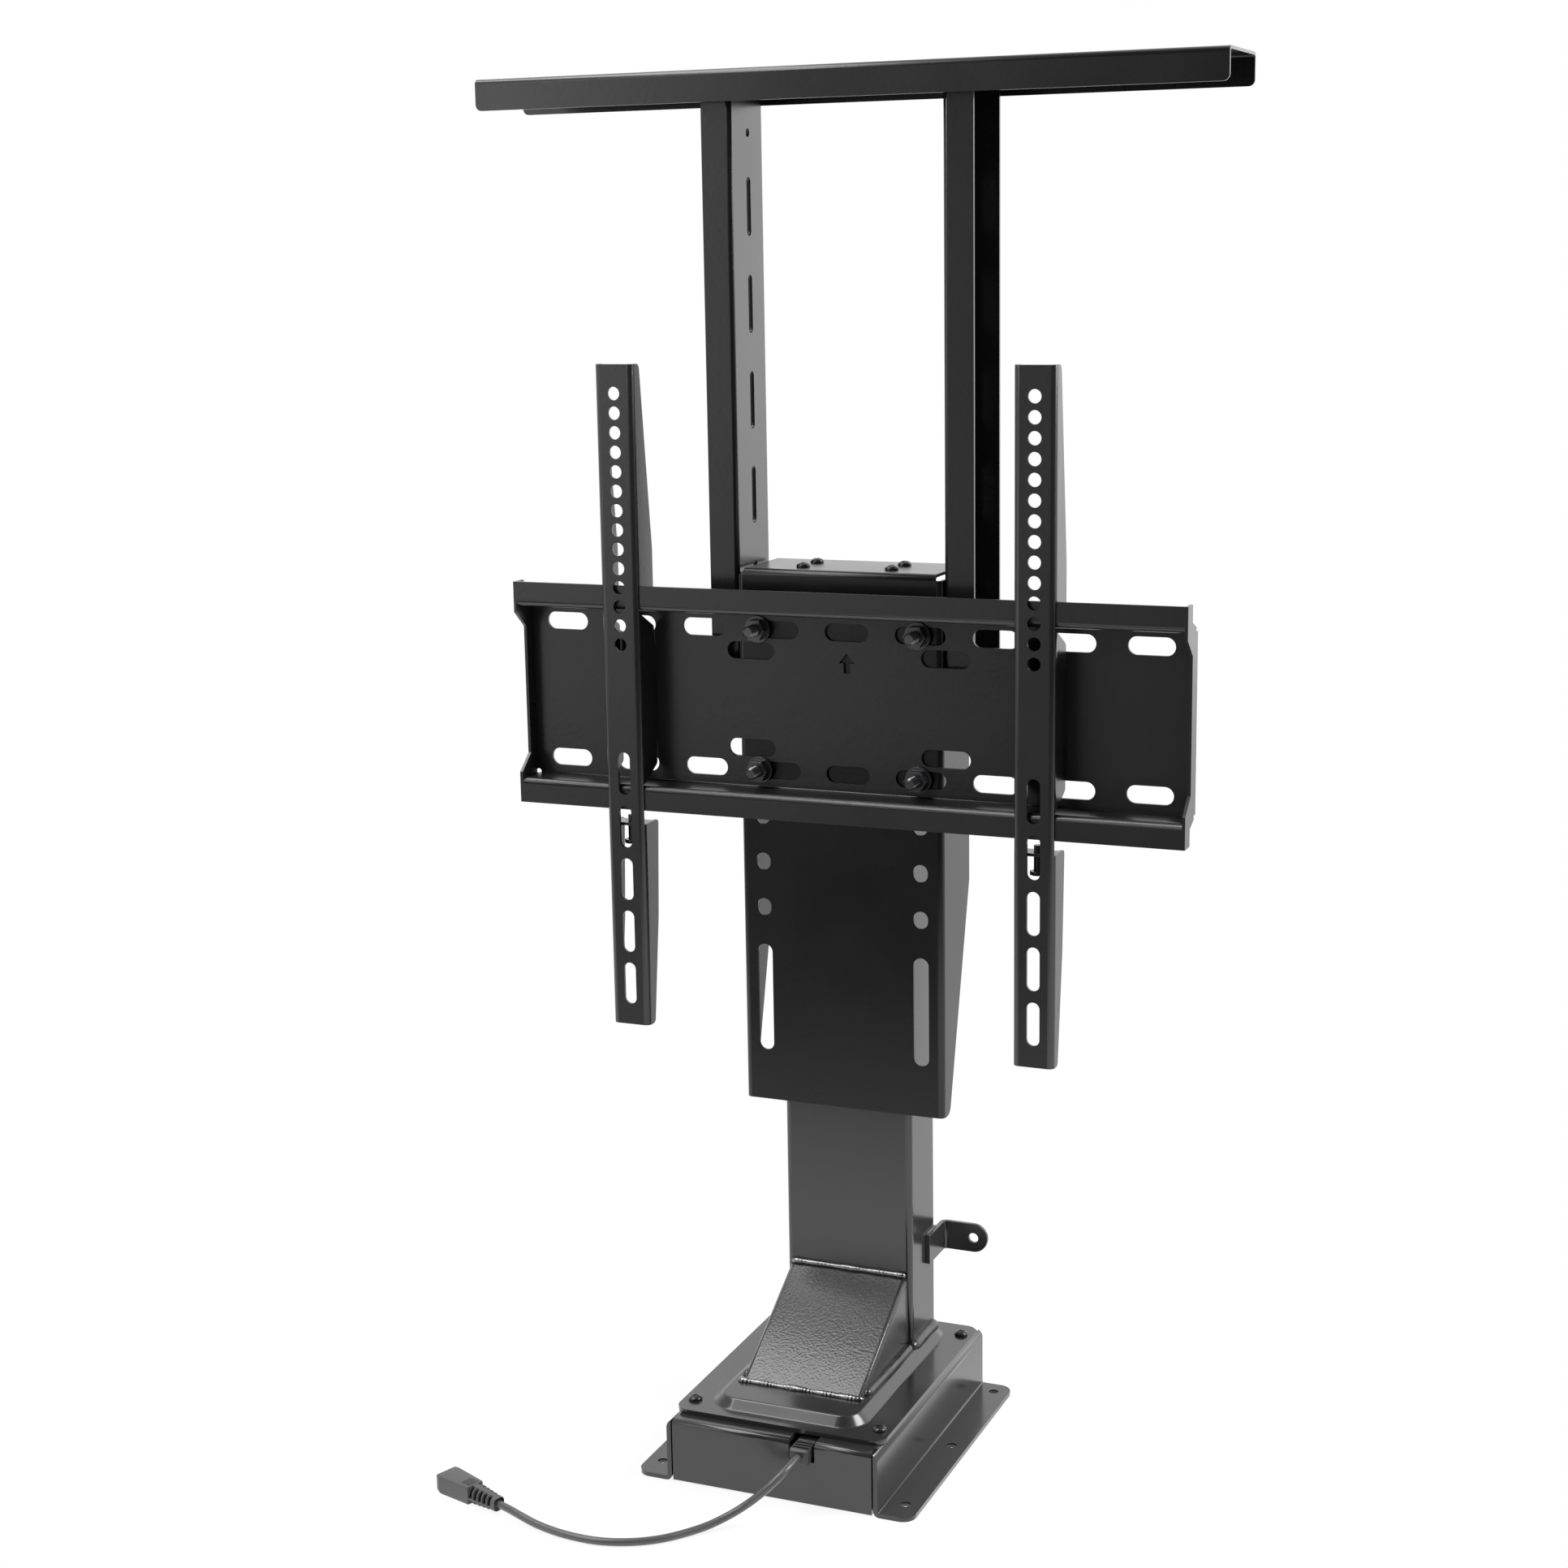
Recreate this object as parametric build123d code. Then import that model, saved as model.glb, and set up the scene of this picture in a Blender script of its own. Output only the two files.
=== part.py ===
from build123d import *
import math
import os

# Television lift in millimetres, +Z up, front towards -Y, origin amid the floor bolts under the base

os.makedirs("parts", exist_ok=True)

# General
overrun = 5.0
running_fit = 0.05
slide_fit = 0.15
face_gap = 0.3

# Base housing
floor_hole_span_x = 169.0
floor_hole_span_y = 176.0
floor_hole_diameter = 6.5
housing_width = 145.0
housing_front = 106.0
housing_rear = 100.0
housing_height = 42.5
housing_sheet = 3.0
side_bend = 3.0
front_bend = 0.5
floor_bend = 1.0
flange_width = 22.5
flange_corner = 9.0
seam_gap = 1.0
relief_height = 8.0
relief_length = 9.0
notch_width = 17.5
notch_offset = 21.5
notch_floor = 29.5
notch_reach = 17.0

# Mounting plate with its raised platform
plate_width = 144.0
plate_length = 190.0
plate_sheet = 3.0
plate_corner = 9.0
platform_width = 107.0
platform_length = 172.0
platform_corner = 18.0
platform_rise = 6.0
platform_slope = 45.0
platform_bend = 2.5
platform_foot_bend = 2.0
plate_screw_inset_x = 8.0
plate_screw_inset_y = 16.0

# Machine screws with domed heads
small_screw = 5.0
small_head = 9.0
small_head_rise = 3.2
small_screw_length = 10.0
recess_width = 1.2
recess_depth = 1.6
recess_share = 0.55

# Column and its guide
column_width = 90.0
column_depth = 47.0
column_wall = 3.0
column_corner = 4.0
column_middle = 56.8
column_top = 560.0
guide_length = 22.0
guide_rim = 3.0

# Gusset
gusset_width = 84.5
gusset_height = 51.0
gusset_reach = 86.5
gusset_sheet = 2.5
gusset_bend = 3.5

# Stay tab
tab_sheet = 3.0
tab_bend = 2.0
tab_width = 20.0
tab_height = 111.5
tab_foot_length = 34.0
tab_end_length = 33.5
tab_overhang = 14.7
tab_hole_diameter = 7.0

# Inner tube, its cap, glides and nut block
tube_width = 80.0
tube_depth = 37.0
tube_wall = 2.5
tube_corner = 3.5
tube_bottom = 64.0
cap_thickness = 6.0
glide_length = 30.0
nut_block_length = 28.0
nut_block_rise = 4.0
nut_body = 26.0
nut_flange = 31.0
nut_flange_thickness = 4.0
nut_length = 38.0

# Lead screw and its bearing
spindle_diameter = 16.0
spindle_top = 545.0
journal_diameter = 10.0
collar_diameter = 22.0
collar_thickness = 3.0
bearing_diameter = 26.0
bearing_rim = 38.0
bearing_rim_thickness = 2.0
bearing_seat = 4.0
spindle_stop_diameter = 22.0
spindle_stop_thickness = 5.0

# Worm gearbox and motor
gear_height = 19.5
wheel_teeth = 30
wheel_module = 1.0
wheel_face = 9.0
tooth_share = 0.36
tip_share = 0.5
worm_pitch_diameter = 13.0
worm_root_clearance = 0.25
worm_length = 22.0
worm_end_diameter = 6.0
worm_end_length = 8.0
gearbox_wall = 4.0
gearbox_floor = 3.5
gearbox_top = 35.5
gearbox_length = 46.0
gearbox_post_diameter = 8.0
gearbox_post_inset = 8.0
cavity_gap = 1.5
motor_diameter = 32.0
motor_length = 62.0
motor_cap_length = 8.0
motor_cap_step = 3.0
motor_boss_diameter = 14.0

# Bottom cover and its posts
cover_sheet = 1.5
cover_lift = 0.5
cover_gap = 0.5
post_diameter = 9.0
post_inset_x = 14.0
post_inset_y = 12.0
cover_screw_head = 7.0
cover_screw_rise = 1.2
cover_screw_sink = 8.0
cover_screw_diameter = 3.5

# Control board
board_width = 46.0
board_length = 84.0
board_sheet = 1.6
board_height = 9.0
board_middle_x = 38.0
board_middle_y = -38.0
spacer_diameter = 7.0
spacer_inset = 5.0
relay_size = 15.0
relay_rise = 14.0
can_diameter = 13.0
can_pitch = 16.0
can_inset = 13.0
can_rise = 18.0
relay_pitch = 22.0
socket_length = 20.0
socket_width = 8.0
socket_rise = 9.0

# Carriage
carriage_front = 27.6
carriage_top = 576.0
carriage_height = 358.0
carriage_sheet = 2.0
carriage_bend = 2.0
carriage_side_depth = 52.0
carriage_taper_height = 150.0
carriage_tail_depth = 12.0
carriage_corner = 6.0
carriage_roof_depth = 58.4
carriage_roof_inset = 4.5
carriage_roof_leg = 20.0
carriage_hole_span = 110.0
carriage_hole_margin = 15.5
carriage_hole_pitch = 31.0
carriage_hole_count = 7
carriage_hole_width = 10.0
carriage_hole_height = 11.6
carriage_slot_width = 10.5
carriage_slot_length = 73.2
carriage_slot_height = 289.0
carriage_relief = 4.0
roof_screw_span_x = 61.0
roof_screw_span_y = 24.0

# Wall plate
wall_plate_drop = 85.3
wall_plate_shift = 6.5
wall_plate_length = 456.0
wall_plate_width = 149.0
wall_plate_sheet = 2.0
wall_plate_reach = 22.7
rail_bend = 2.0
web_bend = 1.0
rail_lip = 14.5
end_ear_depth = 11.5
end_ear_height = 11.0
end_waist_depth = 12.0
end_waist_height = 43.0
end_shoulder_height = 54.0
corner_relief_diameter = 4.5
slot_width = 11.5
slot_length = 30.0
bolt_slot_length = 34.0
bolt_slot_lead = 5.0
slot_pitch = 50.0
slot_count_side = 4
slot_row_span = 92.8
inner_slot_length = 33.0
inner_slot_span_x = 134.0
inner_slot_span_z = 64.2
arrow_height = 13.0
arrow_width = 11.0
arrow_stem = 4.5
arrow_place = 26.5

# Carriage bolts and flange nuts for the wall plate
bolt_diameter = 8.0
bolt_head_diameter = 15.0
bolt_head_rise = 3.6
bolt_reach = 17.0
bolt_point = 1.2
nut_height = 8.0
nut_flats = 13.0
nut_rim_diameter = 17.5
nut_rim_thickness = 1.8

# Television arms
arm_left = -142.0
arm_right = 139.5
arm_width = 27.0
arm_sheet = 2.0
arm_bend = 2.0
arm_gap = 0.9
arm_above_rail = 142.5
arm_length = 438.5
arm_hole_diameter = 8.6
arm_hole_pitch = 12.5
arm_hole_count = 14
arm_hole_start = 18.6
arm_slot_width = 8.6
arm_slot_length = 28.5
arm_slot_pitch = 35.8
arm_slot_count = 5
arm_slot_end = 28.4
arm_depth = 23.3
arm_top_depth = 10.8
arm_top_taper = 120.0
arm_top_corner = 4.0
arm_mid_depth = 23.0
arm_mid_slope = 11.0
arm_low_depth = 22.0
arm_knee_depth = 18.5
arm_knee_drop = 66.0
arm_foot_depth = 9.5
arm_corner = 3.0
tongue_gap = 1.8
lip_gap = 2.4
rail_gap = 1.0

# Lock strip and lock screw of each arm
strip_thickness = 2.0
strip_depth = 13.0
strip_front = 4.0
strip_drop = 9.2
lock_diameter = 5.0
lock_place = 9.5
lock_tip = 4.5
lock_head_diameter = 10.0
lock_head_rise = 2.5
lock_head_drop = 10.0

# Uprights and their bolts
upright_depth = 52.4
upright_flange = 20.0
upright_sheet = 2.0
upright_bend = 1.0
upright_setback = 3.9
upright_bottom = 470.0
upright_slot_length = 37.0
upright_slot_width = 6.5
upright_slot_pitch = 61.4
upright_slot_count = 6
upright_slot_first = 498.0
upright_slot_setback = 27.5
upright_hole_diameter = 5.5
upright_hole_height = 851.0
side_bolt_diameter = 6.0
side_bolt_head = 12.0
side_bolt_head_rise = 3.5
side_nut_flats = 10.0
side_nut_rise = 5.0
side_bolt_end = 2.0

# Lid bar
lid_length = 496.8
lid_depth = 66.8
lid_overhang = 6.0
lid_top = 889.0
lid_flange = 20.0
lid_sheet = 2.0
lid_bend = 1.5
lid_corner = 4.0
lid_hole_diameter = 6.0
lid_hole_inset_x = 28.4
lid_hole_inset_y = 16.4

# Power lead
gland_width = 13.0
gland_height = 10.0
gland_front = 112.0
gland_back = 90.0
gland_rib_count = 4
gland_rib_depth = 0.8
gland_rib_width = 1.2
gland_rib_start = 1.8
lead_diameter = 5.0
bend_share = 0.45
lead_exit = 10.0
lead_drop = [
    (18.3, -132.5, 31.0), (11.0, -139.7, 23.5), (0.5, -143.0, 14.0), (-10.5, -150.5, 7.0),
    (-22.5, -164.0, 3.0),
]
lead_floor = [(-43.0, -187.5), (-70.0, -200.0), (-96.0, -200.5)]
lead_rise = [(-118.5, -196.5, 3.3), (-134.0, -192.0, 5.2)]
lead_entry = 8.8
lead_entry_side = 3.3
plug_end = (-152.5, -185.0)
plug_length = 29.0
plug_width = 17.2
plug_neck = 13.0
plug_height = 12.0
plug_nose = 3.0
plug_nose_side = 1.2
plug_heel = 6.0
plug_heel_rise = 2.0
plug_edge = 1.0
boot_length = 23.5
boot_end = 10.5
boot_rib_count = 5
boot_rib_depth = 1.4

# Heights and faces that follow from the sizes above
plate_top = housing_height + plate_sheet
platform_top = plate_top + platform_rise
column_front = column_middle - column_depth / 2
column_rear = column_middle + column_depth / 2
spindle_seat = platform_top + bearing_seat
tube_top = carriage_top - carriage_sheet - cap_thickness
carriage_bottom = carriage_top - carriage_height
carriage_width = carriage_hole_span + 2 * carriage_hole_margin
carriage_roof_width = carriage_width - 2 * carriage_roof_inset
bolt_slot_place = carriage_hole_span / 2 - bolt_slot_lead
wall_plate_height = carriage_top - wall_plate_drop
carriage_inner = carriage_front + carriage_sheet
web_front = carriage_front - wall_plate_sheet
lip_front = web_front - wall_plate_reach
lip_rear = lip_front + wall_plate_sheet
rail_top = wall_plate_height + wall_plate_width / 2
rail_bottom = wall_plate_height - wall_plate_width / 2
shelf_top = rail_top - rail_lip
shelf_bottom = rail_bottom + rail_lip
arm_inner = lip_front - arm_gap
arm_front = arm_inner - arm_sheet
arm_top = rail_top + arm_above_rail
arm_bottom = arm_top - arm_length
upright_front = carriage_front + upright_setback
lid_front = upright_front - lid_overhang
lid_inner_top = lid_top - lid_sheet
upright_web = carriage_width / 2
upright_slot_line = upright_front + upright_slot_setback


def extrude_x(face, low, high):
    """Pushes a face drawn in Y and Z along X."""
    return Pos(low, 0, 0) * extrude(Plane.YZ * face, amount=high - low)


def extrude_y(face, low, high):
    """Pushes a face drawn in X and Z along Y."""
    return Pos(0, high, 0) * extrude(Plane.XZ * face, amount=high - low)


def extrude_z(face, low, high):
    """Pushes a face drawn in X and Y along Z."""
    return Pos(0, 0, low) * extrude(face, amount=high - low)


def block(x_low, x_high, y_low, y_high, z_low, z_high):
    """A plain block between its lowest and highest corners."""
    size = Box(x_high - x_low, y_high - y_low, z_high - z_low)
    centre = Pos((x_low + x_high) / 2, (y_low + y_high) / 2, (z_low + z_high) / 2)
    return centre * size


def disc(diameter, low, high, x=0, y=0):
    """An upright cylinder between two heights."""
    return Pos(x, y, (low + high) / 2) * Cylinder(diameter / 2, high - low)


def lying_disc(diameter, low, high, x, z):
    """A cylinder along Y between two places."""
    turned = Rot(90, 0, 0) * Cylinder(diameter / 2, high - low)
    return Pos(x, (low + high) / 2, z) * turned


def cross_disc(diameter, low, high, y, z):
    """A cylinder along X between two places."""
    turned = Rot(0, 90, 0) * Cylinder(diameter / 2, high - low)
    return Pos((low + high) / 2, y, z) * turned


def sheet_section(points, thickness, inside_radii, to_right=False):
    """A folded sheet's section: the outline on one side of a path, bends rounded."""
    hand = -1 if to_right else 1
    count = len(points)
    steps = [
        (points[i + 1][0] - points[i][0], points[i + 1][1] - points[i][1])
        for i in range(count - 1)
    ]
    units = [(dx / math.hypot(dx, dy), dy / math.hypot(dx, dy)) for dx, dy in steps]
    other = []
    path_radii = [0]
    other_radii = [0]
    for i, (px, py) in enumerate(points):
        before = units[max(i - 1, 0)]
        after = units[min(i, count - 2)]
        nx = -before[1] - after[1]
        ny = before[0] + after[0]
        reach = 2 * hand * thickness / (nx * nx + ny * ny)
        other.append((px + nx * reach, py + ny * reach))
        if 0 < i < count - 1:
            turn = hand * (before[0] * after[1] - before[1] * after[0])
            inside = inside_radii[i - 1]
            wide = inside + thickness
            path_radii.append(wide if turn > 0 else inside)
            other_radii.append(inside if turn > 0 else wide)
    path_radii.append(0)
    other_radii.append(0)
    outline = FilletPolyline(
        *points, *reversed(other), radius=path_radii + other_radii[::-1], close=True
    )
    return make_face(outline)


def outline_face(points, radii=None):
    """A face inside a closed outline, with a rounding for each corner if given."""
    if radii is None:
        return make_face(Polyline(*points, close=True))
    return make_face(FilletPolyline(*points, radius=radii, close=True))


def tube_section(width, depth, corner, wall):
    """A rectangular tube's section about its own centre."""
    inner = RectangleRounded(width - 2 * wall, depth - 2 * wall, corner - wall)
    return RectangleRounded(width, depth, corner) - inner


def round_slot(length, width):
    """A round-ended slot lying along its first axis."""
    return SlotOverall(length, width)


def hexagon(flats):
    """A hexagon measured across its flats."""
    return RegularPolygon(flats / math.sqrt(3), 6)


def domed_screw(length):
    """A pan-head machine screw pointing down, its seat at height zero."""
    radius = (small_head**2 / 4 + small_head_rise**2) / (2 * small_head_rise)
    ball = Pos(0, 0, small_head_rise - radius) * Sphere(radius)
    head = ball & disc(small_head, 0, small_head_rise)
    shank = disc(small_screw, -length, 0)
    arm = small_head * recess_share
    floor = small_head_rise - recess_depth
    for turn in (0, 90):
        slot = block(-arm / 2, arm / 2, -recess_width / 2, recess_width / 2,
                     floor, small_head_rise + overrun)
        head -= Rot(0, 0, turn) * slot
    return head + shank


def group(solids):
    """Several separate solids that share one node."""
    return Compound(children=[solid for item in solids for solid in item.solids()])


def end_wall(face_y, inward):
    """Section of a housing end wall with the strip of roof it is bent down from."""
    return sheet_section(
        [
            (face_y + inward * relief_length, housing_height),
            (face_y, housing_height),
            (face_y, seam_gap),
        ],
        housing_sheet,
        [front_bend],
        to_right=inward < 0,
    )


def base_housing():
    """Hat-shaped sheet box with outward floor flanges and bent front and rear walls."""
    wall = housing_width / 2
    edge = wall + flange_width
    hat = sheet_section(
        [
            (edge, housing_sheet), (wall, housing_sheet), (wall, housing_height),
            (-wall, housing_height), (-wall, housing_sheet), (-edge, housing_sheet),
        ],
        housing_sheet,
        [floor_bend, side_bend, side_bend, floor_bend],
    )
    body = extrude_y(hat, -housing_front, housing_rear)
    inner_wall = wall - housing_sheet
    end_half = inner_wall - seam_gap
    for face_y, inward in ((-housing_front, 1), (housing_rear, -1)):
        low = min(face_y - inward * overrun, face_y + inward * relief_length)
        high = max(face_y - inward * overrun, face_y + inward * relief_length)
        body -= block(-inner_wall, inner_wall, low, high,
                      housing_height - relief_height, housing_height + overrun)
        body += extrude_x(end_wall(face_y, inward), -end_half, end_half)
    body -= block(notch_offset - notch_width / 2, notch_offset + notch_width / 2,
                  -housing_front - overrun, -housing_front + notch_reach,
                  notch_floor, housing_height + overrun)
    inset = 2 * (platform_rise + plate_sheet)
    window = RectangleRounded(platform_width - inset, platform_length - inset,
                              platform_corner - platform_rise)
    body -= extrude_z(window, housing_height - housing_sheet - overrun,
                      housing_height + overrun)
    for x in (-floor_hole_span_x / 2, floor_hole_span_x / 2):
        for y in (-floor_hole_span_y / 2, 0, floor_hole_span_y / 2):
            body -= disc(floor_hole_diameter, -overrun, housing_sheet + overrun, x, y)
    for x, y in plate_screw_places():
        body -= disc(small_screw, housing_height - housing_sheet - overrun,
                     housing_height + overrun, x, y)
    corners = [
        item for item in body.edges().filter_by(Axis.Z)
        if abs(abs(item.center().X) - edge) < running_fit
    ]
    return fillet(corners, flange_corner)


def mounting_plate():
    """Plate screwed on the housing, its platform pressed up to carry the column."""
    plate = extrude_z(RectangleRounded(plate_width, plate_length, plate_corner),
                      housing_height, plate_top)
    rim = RectangleRounded(platform_width, platform_length, platform_corner)
    rise = extrude(rim, amount=platform_rise, taper=platform_slope)
    raised = Pos(0, 0, plate_top) * rise
    raised = fillet(raised.faces().sort_by(Axis.Z)[-1].edges(), platform_bend)
    body = plate + raised
    foot = [
        item for item in body.edges()
        if abs(item.center().Z - plate_top) < running_fit
        and abs(item.center().X) < platform_width / 2 + running_fit
        and abs(item.center().Y) < platform_length / 2 + running_fit
    ]
    body = fillet(foot, platform_foot_bend)
    body -= Pos(0, 0, housing_height) * rise
    body -= disc(bearing_diameter, housing_height - overrun, platform_top + overrun,
                 0, column_middle)
    for x, y in plate_screw_places():
        body -= disc(small_screw, housing_height - overrun, plate_top + overrun, x, y)
    return body


def plate_screw_places():
    """Places of the four plate screws."""
    x = plate_width / 2 - plate_screw_inset_x
    y = plate_length / 2 - plate_screw_inset_y
    return [(-x, -y), (x, -y), (-x, y), (x, y)]


def plate_screws():
    """Four domed screws that hold the plate on the housing."""
    return group([Pos(x, y, plate_top) * domed_screw(small_screw_length)
                  for x, y in plate_screw_places()])


def outer_column():
    """Rectangular tube welded on the platform."""
    section = tube_section(column_width, column_depth, column_corner, column_wall)
    return Pos(0, column_middle, 0) * extrude_z(section, platform_top, column_top)


def gusset():
    """Folded wedge between the platform and the front of the column."""
    low = platform_top
    high = platform_top + gusset_height
    front = column_front - gusset_reach
    wedge = extrude_x(outline_face([(front, low), (column_front, low), (column_front, high)]),
                      -gusset_width / 2, gusset_width / 2)
    slope = [
        item for item in wedge.edges()
        if item.center().Y < column_front - running_fit
        and item.center().Z > low + running_fit
        and abs(item.center().X) > running_fit
    ]
    wedge = fillet(slope, gusset_bend)
    length = math.hypot(gusset_reach, gusset_height)
    back_shift = gusset_sheet * length / gusset_height
    hollow = extrude_x(
        outline_face([
            (front + back_shift, low),
            (column_front + back_shift, low),
            (column_front + back_shift, high),
        ]),
        -gusset_width / 2 + gusset_sheet,
        gusset_width / 2 - gusset_sheet,
    )
    return wedge - hollow


def stay_tab():
    """Angled strip welded on the column's right side, with a hole for a stay."""
    side = column_width / 2
    bend_y = column_rear + tab_overhang
    section = sheet_section(
        [(side, bend_y - tab_foot_length), (side, bend_y), (side + tab_end_length, bend_y)],
        tab_sheet,
        [tab_bend],
        to_right=True,
    )
    strip = extrude_z(section, tab_height - tab_width / 2, tab_height + tab_width / 2)
    tip = side + tab_end_length
    ends = [
        item for item in strip.edges().filter_by(Axis.Y)
        if item.center().X > tip - running_fit
    ]
    strip = fillet(ends, tab_width / 2 - running_fit)
    hole = lying_disc(tab_hole_diameter, bend_y - tab_sheet - overrun, bend_y + overrun,
                      tip - tab_width / 2, tab_height)
    return strip - hole


def column_guide():
    """Plastic collar in the column's mouth that guides the inner tube."""
    bore = RectangleRounded(tube_width + 2 * slide_fit, tube_depth + 2 * slide_fit,
                            tube_corner)
    lining = RectangleRounded(column_width - 2 * column_wall,
                              column_depth - 2 * column_wall,
                              column_corner - column_wall)
    rim = RectangleRounded(column_width, column_depth, column_corner)
    sleeve = extrude_z(lining - bore, column_top - guide_length, column_top)
    sleeve += extrude_z(rim - bore, column_top, column_top + guide_rim)
    return Pos(0, column_middle, 0) * sleeve


def inner_tube():
    """Sliding tube inside the column."""
    section = tube_section(tube_width, tube_depth, tube_corner, tube_wall)
    return Pos(0, column_middle, 0) * extrude_z(section, tube_bottom, tube_top)


def roof_screw_places():
    """Places of the four screws through the carriage roof."""
    x = roof_screw_span_x / 2
    y = roof_screw_span_y / 2
    return [(-x, column_middle - y), (x, column_middle - y),
            (-x, column_middle + y), (x, column_middle + y)]


def tube_cap():
    """Thick plate welded on top of the inner tube, tapped for the carriage screws."""
    plate = RectangleRounded(tube_width, tube_depth, tube_corner)
    body = Pos(0, column_middle, 0) * extrude_z(plate, tube_top, tube_top + cap_thickness)
    for x, y in roof_screw_places():
        body -= disc(small_screw, tube_top - overrun, carriage_top + overrun, x, y)
    return body


def tube_glides():
    """Plastic sleeve round the foot of the inner tube, running in the column."""
    outer = RectangleRounded(column_width - 2 * column_wall - 2 * slide_fit,
                             column_depth - 2 * column_wall - 2 * slide_fit,
                             column_corner - column_wall)
    inner = RectangleRounded(tube_width, tube_depth, tube_corner)
    sleeve = extrude_z(outer - inner, tube_bottom, tube_bottom + glide_length)
    return Pos(0, column_middle, 0) * sleeve


def nut_block():
    """Block fixed in the foot of the inner tube that holds the drive nut."""
    plug = RectangleRounded(tube_width - 2 * tube_wall, tube_depth - 2 * tube_wall,
                            tube_corner - tube_wall)
    low = tube_bottom + nut_block_rise
    body = Pos(0, column_middle, 0) * extrude_z(plug, low, low + nut_block_length)
    return body - disc(nut_body, low - overrun, low + nut_block_length + overrun,
                       0, column_middle)


def drive_nut():
    """Flanged nut that the lead screw drives up and down."""
    low = tube_bottom + nut_block_rise + nut_block_length + nut_flange_thickness
    body = disc(nut_body, low - nut_length, low, 0, column_middle)
    body += disc(nut_flange, low - nut_flange_thickness, low, 0, column_middle)
    bore = spindle_diameter + 2 * running_fit
    return body - disc(bore, low - nut_length - overrun, low + overrun, 0, column_middle)


def journal_foot():
    """Height of the lead screw's lower end."""
    return gear_height - wheel_face / 2 - gearbox_wall


def lead_screw():
    """Lead screw on its journal, with the collar that rests on the thrust bearing."""
    body = disc(journal_diameter, journal_foot(), spindle_seat, 0, column_middle)
    top = spindle_seat + collar_thickness
    body += disc(collar_diameter, spindle_seat, top, 0, column_middle)
    return body + disc(spindle_diameter, top, spindle_top, 0, column_middle)


def spindle_stop():
    """Disc on the lead screw's top end that keeps the nut on."""
    return disc(spindle_stop_diameter, spindle_top, spindle_top + spindle_stop_thickness,
                0, column_middle)


def thrust_bearing():
    """Bearing ring in the platform's hole that carries the lead screw."""
    low = platform_top - plate_sheet
    body = disc(bearing_diameter, low, spindle_seat, 0, column_middle)
    body += disc(bearing_rim, platform_top, platform_top + bearing_rim_thickness,
                 0, column_middle)
    bore = journal_diameter + 2 * running_fit
    return body - disc(bore, low - overrun, spindle_seat + overrun, 0, column_middle)


def worm_wheel():
    """Toothed wheel on the lead screw's journal."""
    pitch_radius = wheel_teeth * wheel_module / 2
    tip_radius = pitch_radius + wheel_module
    root_radius = pitch_radius - wheel_module
    step = 2 * math.pi / wheel_teeth
    points = []
    for tooth in range(wheel_teeth):
        centre = tooth * step
        wide = step * tooth_share
        narrow = wide * tip_share
        for angle, radius in (
            (centre - wide, root_radius), (centre - narrow, tip_radius),
            (centre + narrow, tip_radius), (centre + wide, root_radius),
        ):
            points.append((radius * math.cos(angle), radius * math.sin(angle)))
    low = gear_height - wheel_face / 2
    wheel = extrude_z(outline_face(points), low, low + wheel_face)
    wheel = Pos(0, column_middle, 0) * wheel
    return wheel - disc(journal_diameter, low - overrun, low + wheel_face + overrun,
                        0, column_middle)


def worm_place():
    """The worm axis's distance from the lead screw, towards -X."""
    return wheel_teeth * wheel_module / 2 + worm_pitch_diameter / 2


def worm_root():
    """The worm body's diameter, which clears the wheel's teeth."""
    pitch_radius = wheel_teeth * wheel_module / 2
    return 2 * (worm_place() - pitch_radius - wheel_module - worm_root_clearance)


def worm():
    """Worm on the motor's output, drawn at its root diameter."""
    x = -worm_place()
    body = lying_disc(worm_root(), column_middle - worm_length / 2,
                      column_middle + worm_length / 2, x, gear_height)
    reach = worm_length / 2 + worm_end_length
    return body + lying_disc(worm_end_diameter, column_middle - reach,
                             column_middle + reach, x, gear_height)


def gearbox_sizes():
    """Left, right, front and rear of the gearbox."""
    wheel_reach = wheel_teeth * wheel_module / 2 + wheel_module + cavity_gap
    left = -worm_place() - motor_diameter / 2
    right = wheel_reach + gearbox_wall
    front = column_middle - gearbox_length / 2
    return left, right, front, front + gearbox_length


def gearbox_cavity():
    """The room inside the gearbox for the wheel and the worm."""
    wheel_reach = wheel_teeth * wheel_module + 2 * wheel_module + 2 * cavity_gap
    half = wheel_face / 2 + cavity_gap
    room = disc(wheel_reach, gear_height - half, gear_height + half, 0, column_middle)
    reach = worm_length / 2 + cavity_gap
    room += lying_disc(worm_root() + 2 * cavity_gap, column_middle - reach,
                       column_middle + reach, -worm_place(), gear_height)
    room += disc(journal_diameter + 2 * running_fit, journal_foot() - face_gap,
                 gearbox_top + overrun, 0, column_middle)
    end = worm_length / 2 + worm_end_length + face_gap
    room += lying_disc(worm_end_diameter + 2 * running_fit, column_middle - end,
                       column_middle + end, -worm_place(), gear_height)
    return room


def gearbox_case():
    """Lower half of the gearbox."""
    left, right, front, rear = gearbox_sizes()
    return block(left, right, front, rear, gearbox_floor, gear_height) - gearbox_cavity()


def gearbox_cover():
    """Upper half of the gearbox, screwed to the lower one."""
    left, right, front, rear = gearbox_sizes()
    return block(left, right, front, rear, gear_height, gearbox_top) - gearbox_cavity()


def gearbox_posts():
    """Four posts that hang the gearbox from the platform."""
    left, right, front, rear = gearbox_sizes()
    inset = gearbox_post_inset
    return group([disc(gearbox_post_diameter, gearbox_top, platform_top - plate_sheet, x, y)
                  for x in (left + inset, right - inset)
                  for y in (front + inset, rear - inset)])


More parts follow.
